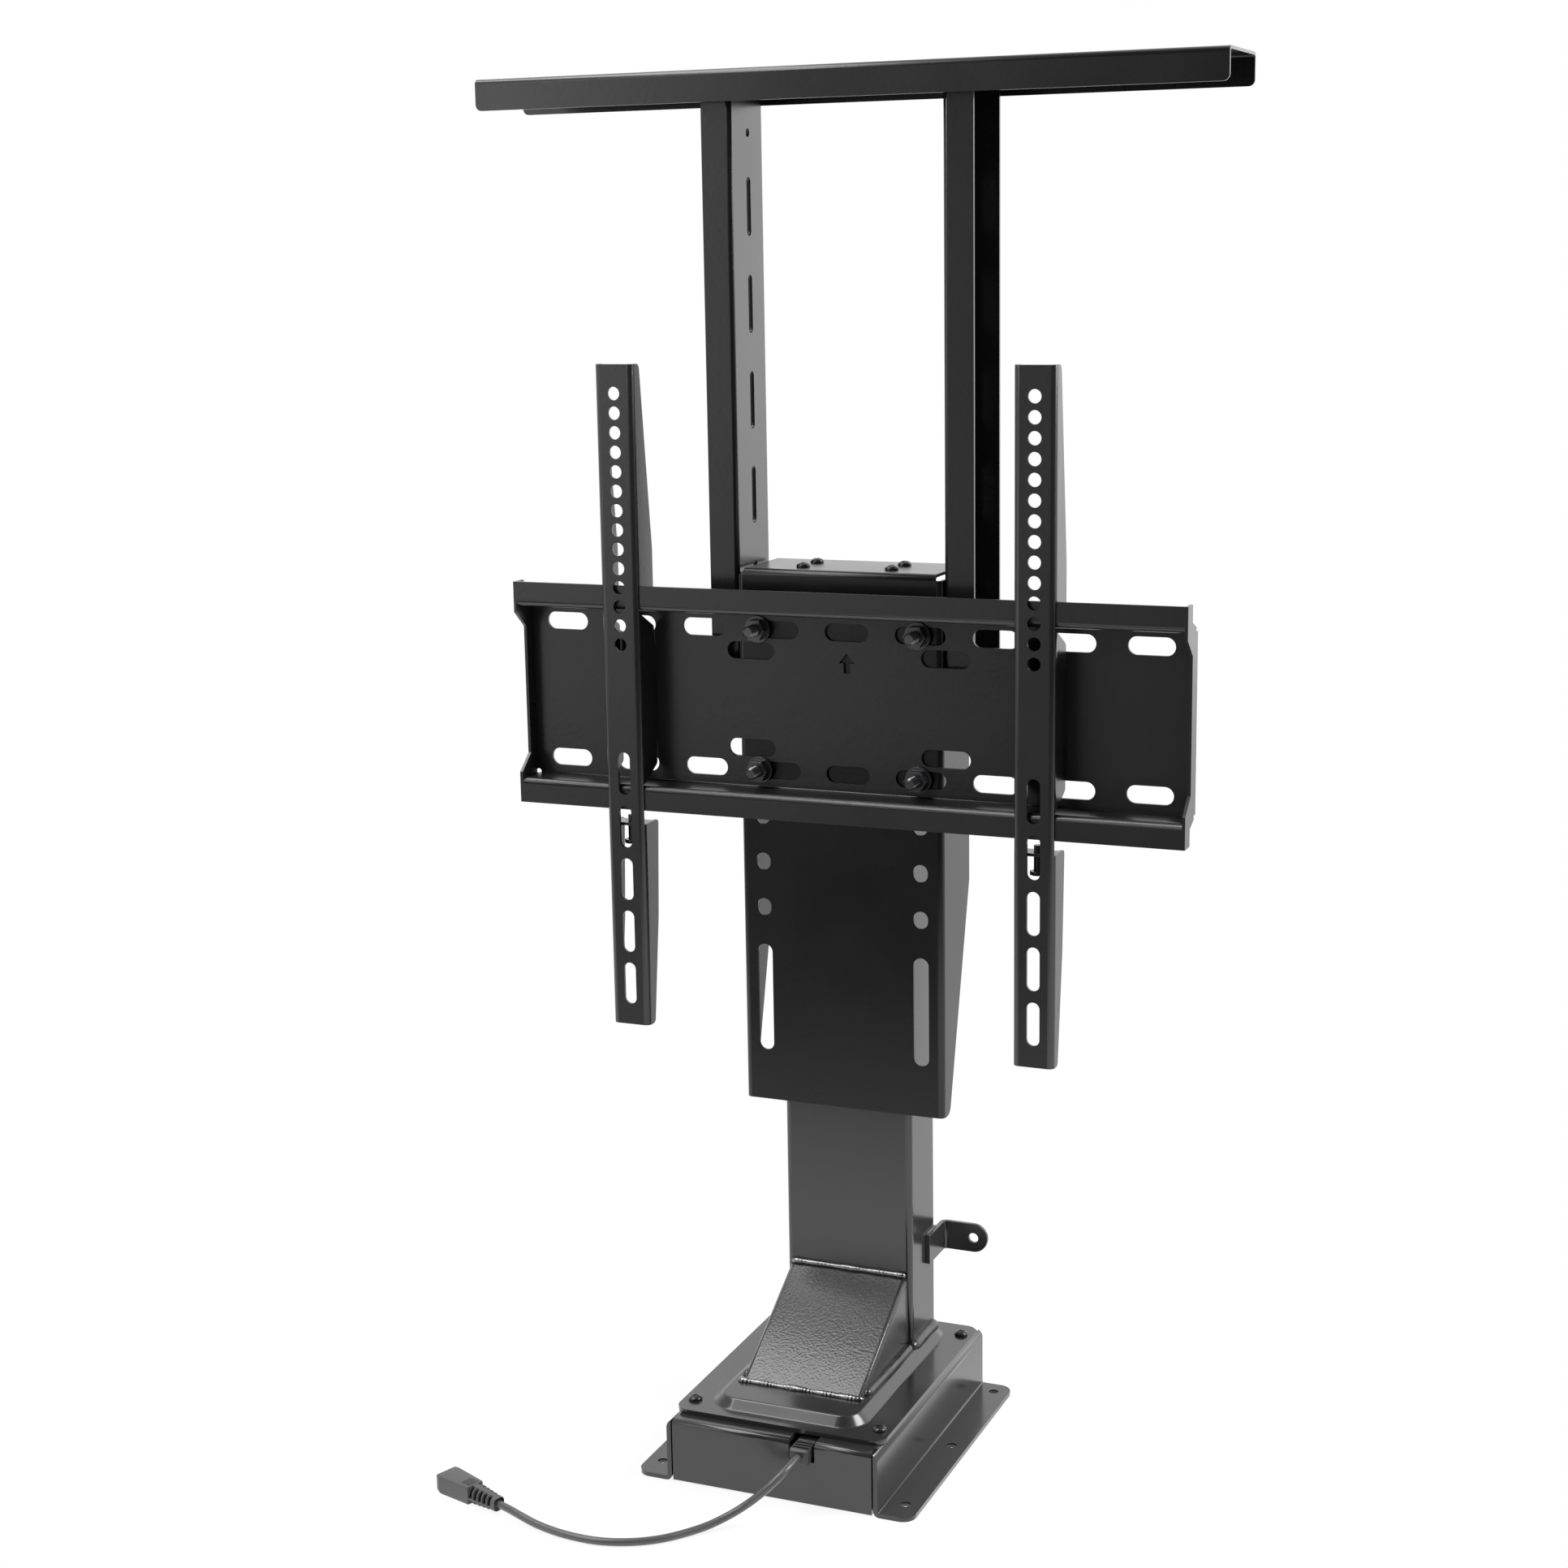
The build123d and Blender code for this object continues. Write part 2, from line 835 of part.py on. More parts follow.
def drive_motor():
    """Closed motor lying along Y in front of the gearbox."""
    front = gearbox_sizes()[2]
    return lying_disc(motor_diameter, front - motor_length, front,
                      -worm_place(), gear_height)


def motor_end_cap():
    """Plastic brush cap on the motor's free end."""
    front = gearbox_sizes()[2] - motor_length
    body = lying_disc(motor_diameter - 2 * motor_cap_step, front - motor_cap_length, front,
                      -worm_place(), gear_height)
    tip = front - motor_cap_length - motor_cap_step
    return body + lying_disc(motor_boss_diameter, tip, front, -worm_place(), gear_height)


def cover_screw_places():
    """Places of the bottom cover's posts and screws."""
    x = housing_width / 2 - post_inset_x
    front = -housing_front + post_inset_y
    rear = housing_rear - post_inset_y
    return [(-x, front), (x, front), (-x, rear), (x, rear)]


def bottom_cover():
    """Sheet that closes the housing from below."""
    half = housing_width / 2 - housing_sheet - cover_gap
    body = block(-half, half, -housing_front + housing_sheet + cover_gap,
                 housing_rear - housing_sheet - cover_gap,
                 cover_lift + cover_screw_rise, cover_lift + cover_screw_rise + cover_sheet)
    for x, y in cover_screw_places():
        body -= disc(cover_screw_diameter, -overrun, housing_height, x, y)
    return body


def cover_posts():
    """Four posts that hang from the housing's roof and take the cover's screws."""
    low = cover_lift + cover_screw_rise + cover_sheet
    high = housing_height - housing_sheet
    posts = []
    for x, y in cover_screw_places():
        post = disc(post_diameter, low, high, x, y)
        posts.append(post - disc(cover_screw_diameter, low - overrun,
                                 low + cover_screw_sink, x, y))
    return group(posts)


def cover_screws():
    """Four flat-headed screws under the bottom cover."""
    seat = cover_lift + cover_screw_rise
    screws = []
    for x, y in cover_screw_places():
        head = disc(cover_screw_head, cover_lift, seat, x, y)
        screws.append(head + disc(cover_screw_diameter, seat,
                                  seat + cover_sheet + cover_screw_sink, x, y))
    return group(screws)


def board_corners():
    """Places of the four spacers under the control board."""
    x = board_width / 2 - spacer_inset
    y = board_length / 2 - spacer_inset
    return [(board_middle_x + i * x, board_middle_y + j * y)
            for i in (-1, 1) for j in (-1, 1)]


def board_spacers():
    """Four spacers between the bottom cover and the control board."""
    low = cover_lift + cover_screw_rise + cover_sheet
    return group([disc(spacer_diameter, low, board_height, x, y)
                  for x, y in board_corners()])


def control_board():
    """Circuit board of the drive."""
    return block(board_middle_x - board_width / 2, board_middle_x + board_width / 2,
                 board_middle_y - board_length / 2, board_middle_y + board_length / 2,
                 board_height, board_height + board_sheet)


def board_components():
    """Two relays, two capacitors and a row socket on the control board."""
    low = board_height + board_sheet
    x = board_middle_x
    y = board_middle_y
    half = relay_size / 2
    items = []
    for middle in (y, y + relay_pitch):
        items.append(block(x - half, x + half, middle - half, middle + half,
                           low, low + relay_rise))
    front = y - board_length / 2 + can_inset
    for side in (-can_pitch / 2, can_pitch / 2):
        items.append(disc(can_diameter, low, low + can_rise, x + side, front))
    rear = y + board_length / 2
    items.append(block(x - socket_length / 2, x + socket_length / 2, rear - socket_width,
                       rear, low, low + socket_rise))
    return group(items)


def carriage():
    """Folded bracket on the inner tube's cap: front, tapered sides and roof."""
    half = carriage_width / 2
    rear = carriage_front + carriage_side_depth
    section = sheet_section(
        [
            (half, rear), (half, carriage_front), (-half, carriage_front), (-half, rear),
        ],
        carriage_sheet,
        [carriage_bend, carriage_bend],
        to_right=True,
    )
    side_top = carriage_top - carriage_relief
    shell = extrude_z(section, carriage_bottom, side_top)
    side = outline_face(
        [
            (carriage_front - overrun, carriage_bottom),
            (carriage_front + carriage_tail_depth, carriage_bottom),
            (rear, carriage_bottom + carriage_taper_height),
            (rear, side_top),
            (carriage_front - overrun, side_top),
        ],
        [0, carriage_corner, carriage_relief, carriage_relief, 0],
    )
    shell &= extrude_x(side, -half - overrun, half + overrun)
    roof = sheet_section(
        [
            (carriage_front, carriage_top - carriage_roof_leg),
            (carriage_front, carriage_top),
            (carriage_front + carriage_roof_depth, carriage_top),
        ],
        carriage_sheet,
        [carriage_bend],
        to_right=True,
    )
    shell += extrude_x(roof, -carriage_roof_width / 2, carriage_roof_width / 2)
    for x, y in roof_screw_places():
        shell -= disc(small_screw, carriage_top - carriage_sheet - overrun,
                      carriage_top + overrun, x, y)
    hole = Rot(0, 0, 90) * round_slot(carriage_hole_height, carriage_hole_width)
    slot = Rot(0, 0, 90) * round_slot(carriage_slot_length, carriage_slot_width)
    top_row = wall_plate_height + slot_row_span / 2
    for x in (-carriage_hole_span / 2, carriage_hole_span / 2):
        for i in range(carriage_hole_count):
            cut = Pos(x, top_row - i * carriage_hole_pitch) * hole
            shell -= extrude_y(cut, carriage_front - overrun, carriage_inner + overrun)
        cut = Pos(x, carriage_slot_height) * slot
        shell -= extrude_y(cut, carriage_front - overrun, carriage_inner + overrun)
    for z in side_bolt_heights():
        shell -= cross_disc(side_bolt_diameter, -half - overrun, half + overrun,
                            upright_slot_line, z)
    return shell


def roof_screws():
    """Four domed screws through the carriage roof into the tube's cap."""
    return group([Pos(x, y, carriage_top) * domed_screw(cap_thickness)
                  for x, y in roof_screw_places()])


def wall_plate():
    """Tray-shaped plate with two forward rails, end flanges and rows of slots."""
    half = wall_plate_length / 2
    section = sheet_section(
        [
            (lip_front, rail_top),
            (lip_front, shelf_top - wall_plate_sheet),
            (web_front, shelf_top - wall_plate_sheet),
            (web_front, shelf_bottom + wall_plate_sheet),
            (lip_front, shelf_bottom + wall_plate_sheet),
            (lip_front, rail_bottom),
        ],
        wall_plate_sheet,
        [rail_bend, web_bend, web_bend, rail_bend],
    )
    inner_half = half - wall_plate_sheet
    body = extrude_x(section, -inner_half, inner_half)
    mid = wall_plate_height
    web_rear = web_front + wall_plate_sheet
    ear = lip_front + end_ear_depth
    waist = web_rear - end_waist_depth
    points = [
        (lip_front, rail_top), (ear, rail_top), (ear, rail_top - end_ear_height),
        (web_rear, shelf_top - wall_plate_sheet),
        (web_rear, shelf_bottom + wall_plate_sheet),
        (ear, rail_bottom + end_ear_height), (ear, rail_bottom), (lip_front, rail_bottom),
        (lip_front, mid - end_shoulder_height), (waist, mid - end_waist_height),
        (waist, mid + end_waist_height), (lip_front, mid + end_shoulder_height),
    ]
    end = outline_face(points)
    body += extrude_x(end, -half, -inner_half)
    body += extrude_x(end, inner_half, half)
    straight = round_slot(slot_length, slot_width)
    long_slot = round_slot(bolt_slot_length, slot_width)
    inner_slot = round_slot(inner_slot_length, slot_width)
    cuts = []
    for row in (-1, 1):
        z = mid + row * slot_row_span / 2
        for step in range(-slot_count_side, slot_count_side + 1):
            if abs(step) == 1:
                cuts.append(Pos(step * bolt_slot_place, z) * long_slot)
            else:
                cuts.append(Pos(step * slot_pitch, z) * straight)
        for side in (-1, 1):
            place = Pos(side * inner_slot_span_x / 2, mid + row * inner_slot_span_z / 2)
            cuts.append(place * inner_slot)
        for side in (-1, 1):
            place = Pos(side * inner_half, mid + row * (shelf_top - wall_plate_sheet - mid))
            cuts.append(place * Circle(corner_relief_diameter / 2))
    for cut in cuts:
        body -= extrude_y(cut, web_front - rail_bend, web_rear + overrun)
    low = mid + arrow_place - arrow_height / 2
    neck = low + arrow_height / 2
    arrow = outline_face([
        (-arrow_stem / 2, low), (arrow_stem / 2, low), (arrow_stem / 2, neck),
        (arrow_width / 2, neck), (0, low + arrow_height), (-arrow_width / 2, neck),
        (-arrow_stem / 2, neck),
    ])
    body -= extrude_y(arrow, web_front - rail_bend, web_rear + overrun)
    return Pos(wall_plate_shift, 0, 0) * body


def plate_bolt_places():
    """Places of the four bolts that hold the wall plate on the carriage."""
    return [(x, wall_plate_height + z)
            for x in (-carriage_hole_span / 2, carriage_hole_span / 2)
            for z in (-slot_row_span / 2, slot_row_span / 2)]


def plate_bolts():
    """Four bolts from behind the carriage, their threads towards the front."""
    bolts = []
    for x, z in plate_bolt_places():
        head = lying_disc(bolt_head_diameter, carriage_inner,
                          carriage_inner + bolt_head_rise, x, z)
        shank = lying_disc(bolt_diameter, web_front - bolt_reach, carriage_inner, x, z)
        tip = shank.edges().filter_by(GeomType.CIRCLE).sort_by(Axis.Y)[0]
        bolts.append(head + chamfer(tip, bolt_point))
    return group(bolts)


def plate_nuts():
    """Four flange nuts on the bolts."""
    nuts = []
    for x, z in plate_bolt_places():
        hexa = extrude_y(hexagon(nut_flats), web_front - nut_height, web_front)
        rim = lying_disc(nut_rim_diameter, web_front - nut_rim_thickness, web_front, 0, 0)
        bore = lying_disc(bolt_diameter, web_front - nut_height - overrun,
                          web_front + overrun, 0, 0)
        nuts.append(Pos(x, 0, z) * (hexa + rim - bore))
    return group(nuts)


def arm_outline():
    """Side view of an arm's flanges: hooks over both rails, tapered to both ends."""
    rear = arm_front + arm_depth
    mid_rear = arm_front + arm_mid_depth
    low_rear = arm_front + arm_low_depth
    slot_rear = lip_rear + lip_gap
    tongue = shelf_top + tongue_gap
    below_shelf = shelf_top - wall_plate_sheet - rail_gap
    above_shelf = shelf_bottom + wall_plate_sheet + rail_gap
    low_start = rail_bottom - strip_drop
    points = [
        (arm_front, arm_top),
        (arm_front + arm_top_depth, arm_top),
        (rear, arm_top - arm_top_taper),
        (rear, tongue),
        (slot_rear, tongue),
        (slot_rear, rail_top),
        (arm_inner, rail_top),
        (arm_inner, below_shelf),
        (mid_rear, below_shelf - arm_mid_slope),
        (mid_rear, above_shelf + arm_mid_slope),
        (arm_inner, above_shelf),
        (arm_inner, low_start),
        (low_rear, low_start),
        (arm_front + arm_knee_depth, low_start - arm_knee_drop),
        (arm_front + arm_foot_depth, arm_bottom),
        (arm_front, arm_bottom),
    ]
    round_corners = {1: arm_top_corner, 3: arm_corner, 5: arm_sheet, 8: arm_corner,
                     9: arm_corner, 12: arm_corner, 14: arm_corner}
    return outline_face(points, [round_corners.get(i, 0) for i in range(len(points))])


def tv_arm(centre):
    """Channel-shaped arm with round holes above and slots below."""
    half = arm_width / 2
    rear = arm_front + arm_depth
    section = sheet_section(
        [(half, rear), (half, arm_front), (-half, arm_front), (-half, rear)],
        arm_sheet,
        [arm_bend, arm_bend],
        to_right=True,
    )
    body = extrude_z(section, arm_bottom, arm_top)
    body &= extrude_x(arm_outline(), -half - overrun, half + overrun)
    hole = Circle(arm_hole_diameter / 2)
    for i in range(arm_hole_count):
        z = arm_top - arm_hole_start - i * arm_hole_pitch
        body -= extrude_y(Pos(0, z) * hole, arm_front - overrun, arm_inner + overrun)
    slot = Rot(0, 0, 90) * round_slot(arm_slot_length, arm_slot_width)
    for i in range(arm_slot_count):
        z = arm_bottom + arm_slot_end + i * arm_slot_pitch
        body -= extrude_y(Pos(0, z) * slot, arm_front - overrun, arm_inner + overrun)
    return Pos(centre, 0, 0) * body


def lock_strip(centre):
    """Strip between an arm's flanges, below the bottom rail, tapped for its screw."""
    half = arm_width / 2 - arm_sheet
    top = rail_bottom - strip_drop
    body = block(centre - half, centre + half, arm_front + strip_front,
                 arm_front + strip_front + strip_depth, top - strip_thickness, top)
    return body - disc(lock_diameter + 2 * running_fit, top - strip_thickness - overrun,
                       top + overrun, centre, arm_front + lock_place)


def lock_screw(centre):
    """Thumb screw that rises behind the bottom rail's lip and keeps the arm on."""
    top = rail_bottom - strip_drop
    seat = top - strip_thickness - lock_head_drop
    y = arm_front + lock_place
    body = disc(lock_diameter, seat, top + lock_tip, centre, y)
    return body + disc(lock_head_diameter, seat - lock_head_rise, seat, centre, y)


def side_bolt_heights():
    """Heights of the two bolts on each side, in the lowest two slots at rest."""
    return [upright_slot_first, upright_slot_first + upright_slot_pitch]


def upright(side):
    """Channel that carries the lid bar, open outwards, with slots in its web."""
    web = upright_web
    edge = upright_web + upright_flange
    rear = upright_front + upright_depth
    section = sheet_section(
        [(edge, upright_front), (web, upright_front), (web, rear), (edge, rear)],
        upright_sheet,
        [upright_bend, upright_bend],
        to_right=True,
    )
    body = extrude_z(section, upright_bottom, lid_inner_top)
    slot = Rot(0, 0, 90) * round_slot(upright_slot_length, upright_slot_width)
    for i in range(upright_slot_count):
        z = upright_slot_first + i * upright_slot_pitch
        body -= extrude_x(Pos(upright_slot_line, z) * slot, web - overrun,
                          web + upright_sheet + overrun)
    body -= cross_disc(upright_hole_diameter, web - overrun, web + upright_sheet + overrun,
                       upright_slot_line, upright_hole_height)
    return body if side > 0 else mirror(body, Plane.YZ)


def side_bolts():
    """Bolts from inside the carriage through its sides and the uprights' slots."""
    inside = carriage_width / 2 - carriage_sheet
    end = upright_web + upright_sheet + side_nut_rise + side_bolt_end
    bolts = []
    for z in side_bolt_heights():
        head = cross_disc(side_bolt_head, inside - side_bolt_head_rise, inside,
                          upright_slot_line, z)
        bolt = head + cross_disc(side_bolt_diameter, inside, end, upright_slot_line, z)
        bolts += [bolt, mirror(bolt, Plane.YZ)]
    return group(bolts)


def side_nuts():
    """Nuts that clamp the uprights."""
    seat = upright_web + upright_sheet
    nuts = []
    for z in side_bolt_heights():
        shape = Pos(upright_slot_line, z) * hexagon(side_nut_flats)
        nut = extrude_x(shape, seat, seat + side_nut_rise)
        nut -= cross_disc(side_bolt_diameter, seat - overrun, seat + side_nut_rise + overrun,
                          upright_slot_line, z)
        nuts += [nut, mirror(nut, Plane.YZ)]
    return group(nuts)


def lid_bar():
    """Channel open downwards that carries the cabinet's lid."""
    rear = lid_front + lid_depth
    low = lid_top - lid_flange
    section = sheet_section(
        [(lid_front, low), (lid_front, lid_top), (rear, lid_top), (rear, low)],
        lid_sheet,
        [lid_bend, lid_bend],
        to_right=True,
    )
    body = extrude_x(section, -lid_length / 2, lid_length / 2)
    corners = [
        item for item in body.edges().filter_by(Axis.Y)
        if item.center().Z < low + running_fit
    ]
    body = fillet(corners, lid_corner)
    end = lid_length / 2 - lid_hole_inset_x
    for x in (-end, end):
        for y in (lid_front + lid_hole_inset_y, lid_front + lid_depth - lid_hole_inset_y):
            body -= disc(lid_hole_diameter, lid_inner_top - overrun, lid_top + overrun,
                         x, y)
    return body


def cable_gland():
    """Ribbed block in the housing's notch that grips the power lead."""
    low = notch_floor
    body = block(notch_offset - gland_width / 2, notch_offset + gland_width / 2,
                 -gland_front, -gland_back, low, low + gland_height)
    half = gland_width / 2
    for i in range(gland_rib_count):
        y = -gland_front + gland_rib_start + 2 * gland_rib_width * i
        for side in (-1, 1):
            inner = notch_offset + side * (half - gland_rib_depth)
            outer = notch_offset + side * (half + overrun)
            body -= block(min(inner, outer), max(inner, outer), y, y + gland_rib_width,
                          low + gland_rib_depth, low + gland_height + overrun)
        body -= block(notch_offset - half - overrun, notch_offset + half + overrun,
                      y, y + gland_rib_width, low + gland_height - gland_rib_depth,
                      low + gland_height + overrun)
    return body


def lead_route():
    """Points of the power lead from the gland down to the floor and to its plug."""
    floor = lead_diameter / 2
    exit_height = notch_floor + gland_height / 2
    return [
        (notch_offset, -gland_front, exit_height),
        (notch_offset, -gland_front - lead_exit, exit_height),
        *lead_drop,
        *[(x, y, floor) for x, y in lead_floor],
        *lead_rise,
        (plug_end[0] + lead_entry, plug_end[1] - lead_entry_side, plug_height / 2),
        (plug_end[0], plug_end[1], plug_height / 2),
    ]


def lead_corners(points):
    """Bend radius at each inner point of the lead's route."""
    radii = []
    for before, here, after in zip(points, points[1:], points[2:]):
        arrive = Vector(*here) - Vector(*before)
        leave = Vector(*after) - Vector(*here)
        turn = math.radians(arrive.get_angle(leave))
        shorter = min(arrive.length, leave.length)
        radii.append(bend_share * shorter / math.tan(turn / 2))
    return radii


def power_lead():
    """Round cable from the gland to the plug."""
    points = lead_route()
    radii = lead_corners(points)
    print("lead corner radii", [round(radius, 1) for radius in radii])
    path = FilletPolyline(*points, radius=radii)
    start = Plane(origin=path @ 0, z_dir=path % 0)
    lead = sweep(start * Circle(lead_diameter / 2), path=path)
    section = math.pi * lead_diameter**2 / 4
    print("lead length", round(path.length, 1), "volume over section",
          round(lead.volume / section, 1))
    return lead


def plug_plane():
    """Frame of the plug: +Z from the lead's end on, +Y up."""
    points = lead_route()
    end = Vector(*points[-1])
    along = end - Vector(*points[-2])
    side = Vector(along.Y, -along.X, 0)
    return Plane(origin=end, x_dir=side, z_dir=along)


def lead_plug():
    """Moulded connector with a ribbed boot on the lead's end."""
    corner = boot_end / 3
    boot = loft([
        RectangleRounded(boot_end, boot_end, corner),
        Pos(0, 0, boot_length) * RectangleRounded(plug_neck, plug_height, corner),
    ])
    pitch = boot_length / (2 * boot_rib_count + 1)
    for i in range(boot_rib_count):
        low = pitch * (2 * i + 1)
        share = low / boot_length
        wide = boot_end + (plug_neck - boot_end) * share - 2 * boot_rib_depth
        high = boot_end + (plug_height - boot_end) * share - 2 * boot_rib_depth
        ring = Box(plug_width, plug_width, pitch) - Box(wide, high, pitch)
        boot -= Pos(0, 0, low + pitch / 2) * ring
    half = plug_width / 2
    outline = outline_face([
        (-plug_neck / 2, 0), (plug_neck / 2, 0), (half, plug_length - plug_nose),
        (half - plug_nose_side, plug_length), (plug_nose_side - half, plug_length),
        (-half, plug_length - plug_nose),
    ])
    shell = Pos(0, plug_height / 2, 0) * extrude(Plane.XZ * outline, amount=plug_height)
    heel = outline_face([
        (-plug_height / 2, plug_length - plug_heel),
        (-plug_height / 2 + plug_heel_rise, plug_length + overrun),
        (-plug_height / 2 - overrun, plug_length + overrun),
        (-plug_height / 2 - overrun, plug_length - plug_heel),
    ])
    shell -= extrude_x(heel, -plug_width, plug_width)
    shell = fillet(shell.faces().sort_by(Axis.Y)[-1].edges(), plug_edge)
    return plug_plane().location * (boot + Pos(0, 0, boot_length) * shell)


nodes = {
    "base_housing": base_housing,
    "mounting_plate": mounting_plate,
    "plate_screws": plate_screws,
    "outer_column": outer_column,
    "gusset": gusset,
    "stay_tab": stay_tab,
    "column_guide": column_guide,
    "thrust_bearing": thrust_bearing,
    "gearbox_case": gearbox_case,
    "gearbox_cover": gearbox_cover,
    "gearbox_posts": gearbox_posts,
    "drive_motor": drive_motor,
    "motor_end_cap": motor_end_cap,
    "bottom_cover": bottom_cover,
    "cover_posts": cover_posts,
    "cover_screws": cover_screws,
    "board_spacers": board_spacers,
    "control_board": control_board,
    "board_components": board_components,
    "cable_gland": cable_gland,
    "power_lead": power_lead,
    "lead_plug": lead_plug,
    "lead_screw": lead_screw,
    "spindle_stop": spindle_stop,
    "worm_wheel": worm_wheel,
    "worm": worm,
    "inner_tube": inner_tube,
    "tube_cap": tube_cap,
    "tube_glides": tube_glides,
    "nut_block": nut_block,
    "drive_nut": drive_nut,
    "carriage": carriage,
    "roof_screws": roof_screws,
    "wall_plate": wall_plate,
    "plate_bolts": plate_bolts,
    "plate_nuts": plate_nuts,
    "side_bolts": side_bolts,
    "side_nuts": side_nuts,
    "left_upright": lambda: upright(-1),
    "right_upright": lambda: upright(1),
    "lid_bar": lid_bar,
    "left_arm": lambda: tv_arm(arm_left),
    "right_arm": lambda: tv_arm(arm_right),
    "left_lock_strip": lambda: lock_strip(arm_left),
    "right_lock_strip": lambda: lock_strip(arm_right),
    "left_lock_screw": lambda: lock_screw(arm_left),
    "right_lock_screw": lambda: lock_screw(arm_right),
}

for name, make in nodes.items():
    export_step(make(), f"parts/{name}.step")
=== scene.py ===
import math

import bmesh
import bpy
from mathutils import Matrix, Vector


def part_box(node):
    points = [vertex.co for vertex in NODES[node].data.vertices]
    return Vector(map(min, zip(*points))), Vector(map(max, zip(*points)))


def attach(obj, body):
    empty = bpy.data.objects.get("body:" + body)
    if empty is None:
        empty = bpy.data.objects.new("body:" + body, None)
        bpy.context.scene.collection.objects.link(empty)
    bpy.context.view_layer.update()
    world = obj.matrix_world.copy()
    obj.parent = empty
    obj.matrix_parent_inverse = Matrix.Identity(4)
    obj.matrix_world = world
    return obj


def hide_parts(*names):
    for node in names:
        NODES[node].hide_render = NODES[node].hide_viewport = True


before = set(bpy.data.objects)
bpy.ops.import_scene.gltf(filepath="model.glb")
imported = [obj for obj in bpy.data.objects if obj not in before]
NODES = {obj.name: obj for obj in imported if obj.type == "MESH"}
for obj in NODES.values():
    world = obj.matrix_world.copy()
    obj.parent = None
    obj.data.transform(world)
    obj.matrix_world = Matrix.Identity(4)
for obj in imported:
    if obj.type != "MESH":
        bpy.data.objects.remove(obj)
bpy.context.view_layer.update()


# Camera. A long lens stands a little to the right of the lift and above its base,
# as a catalogue picture is taken, so that the front and the right sides show.
CAMERA_PLACE = (0.6109, -1.5051, 0.7773)
CAMERA_TURN_DEGREES = (78.386, 0.942, 22.797)
CAMERA_LENS_MM = 59.65
CAMERA_SENSOR_MM = 36.0
CAMERA_NEAR = 0.05


def add_object(name, data):
    """Puts a new object in the scene, at the origin."""
    thing = bpy.data.objects.new(name, data)
    bpy.context.scene.collection.objects.link(thing)
    return thing


camera = add_object("camera", bpy.data.cameras.new("camera"))
camera.location = CAMERA_PLACE
camera.rotation_euler = [math.radians(turn) for turn in CAMERA_TURN_DEGREES]
camera.data.lens = CAMERA_LENS_MM
camera.data.sensor_width = CAMERA_SENSOR_MM
camera.data.clip_start = CAMERA_NEAR
bpy.context.scene.camera = camera
bpy.context.scene.view_settings.view_transform = "Standard"


# Power lead. A round two-core lead in dark grey vinyl, extruded, that leaves the base
# box's gland, drops to the floor and sweeps left to its moulded plug.
LEAD_RADIUS = 0.0025
LEAD_COLOUR = (0.062, 0.062, 0.064)
LEAD_STEPS = 16
LEAD_SIDES = 6
LEAD_ROUTE = (
    (0.0215, -0.1120, 0.0345), (0.0215, -0.1220, 0.0345), (0.0183, -0.1325, 0.0310),
    (0.0110, -0.1397, 0.0235), (0.0005, -0.1430, 0.0140), (-0.0105, -0.1505, 0.0070),
    (-0.0225, -0.1640, 0.0030), (-0.0430, -0.1875, 0.0026), (-0.0700, -0.2000, 0.0026),
    (-0.0960, -0.2005, 0.0026), (-0.1185, -0.1965, 0.0033), (-0.1340, -0.1920, 0.0052),
    (-0.1437, -0.1883, 0.0060), (-0.1525, -0.1850, 0.0060),
)
CLOUD_SCALE = 30.0
CLOUD_DETAIL = 3.0
GRAIN_SCALE = 900.0
GRAIN_DETAIL = 2.0


def add_node(tree, kind, sockets=None, **settings):
    """Adds a node: its settings, then a value or a link for each named or numbered input."""
    node = tree.nodes.new(kind)
    for setting, value in settings.items():
        setattr(node, setting, value)
    for socket, value in (sockets or {}).items():
        if isinstance(value, bpy.types.NodeSocket):
            tree.links.new(value, node.inputs[socket])
        else:
            node.inputs[socket].default_value = value
    return node


def new_group(name, inputs, outputs):
    """A node group of plain numbers, whose inputs are given with their start values."""
    group = bpy.data.node_groups.new(name, "ShaderNodeTree")
    for socket_name, start in inputs.items():
        socket = group.interface.new_socket(socket_name, in_out="INPUT",
                                            socket_type="NodeSocketFloat")
        socket.default_value = start
    for socket_name in outputs:
        group.interface.new_socket(socket_name, in_out="OUTPUT", socket_type="NodeSocketFloat")
    return group, group.nodes.new("NodeGroupInput"), group.nodes.new("NodeGroupOutput")


def mottle_group():
    """Slow and fine unevenness of a moulded or coated surface, as masks around one half."""
    group, start, end = new_group(
        "surface_mottle", {"Cloud Scale": CLOUD_SCALE, "Grain Scale": GRAIN_SCALE},
        ("Cloud", "Grain"))
    place = add_node(group, "ShaderNodeTexCoord").outputs["Object"]
    for name, detail in (("Cloud", CLOUD_DETAIL), ("Grain", GRAIN_DETAIL)):
        noise = add_node(group, "ShaderNodeTexNoise", {
            "Vector": place, "Scale": start.outputs[name + " Scale"], "Detail": detail})
        group.links.new(noise.outputs["Fac"], end.inputs[name])
    return group


MOTTLE = mottle_group()


def new_material(name, specular):
    """A node material, with its tree and its shader."""
    material = bpy.data.materials.new(name)
    material.use_nodes = True
    shader = material.node_tree.nodes["Principled BSDF"]
    shader.inputs["Specular IOR Level"].default_value = specular
    return material, material.node_tree, shader


def scaled(colour, factor):
    """A colour made lighter or darker by a factor, with its alpha."""
    return (*[value * factor for value in colour], 1.0)


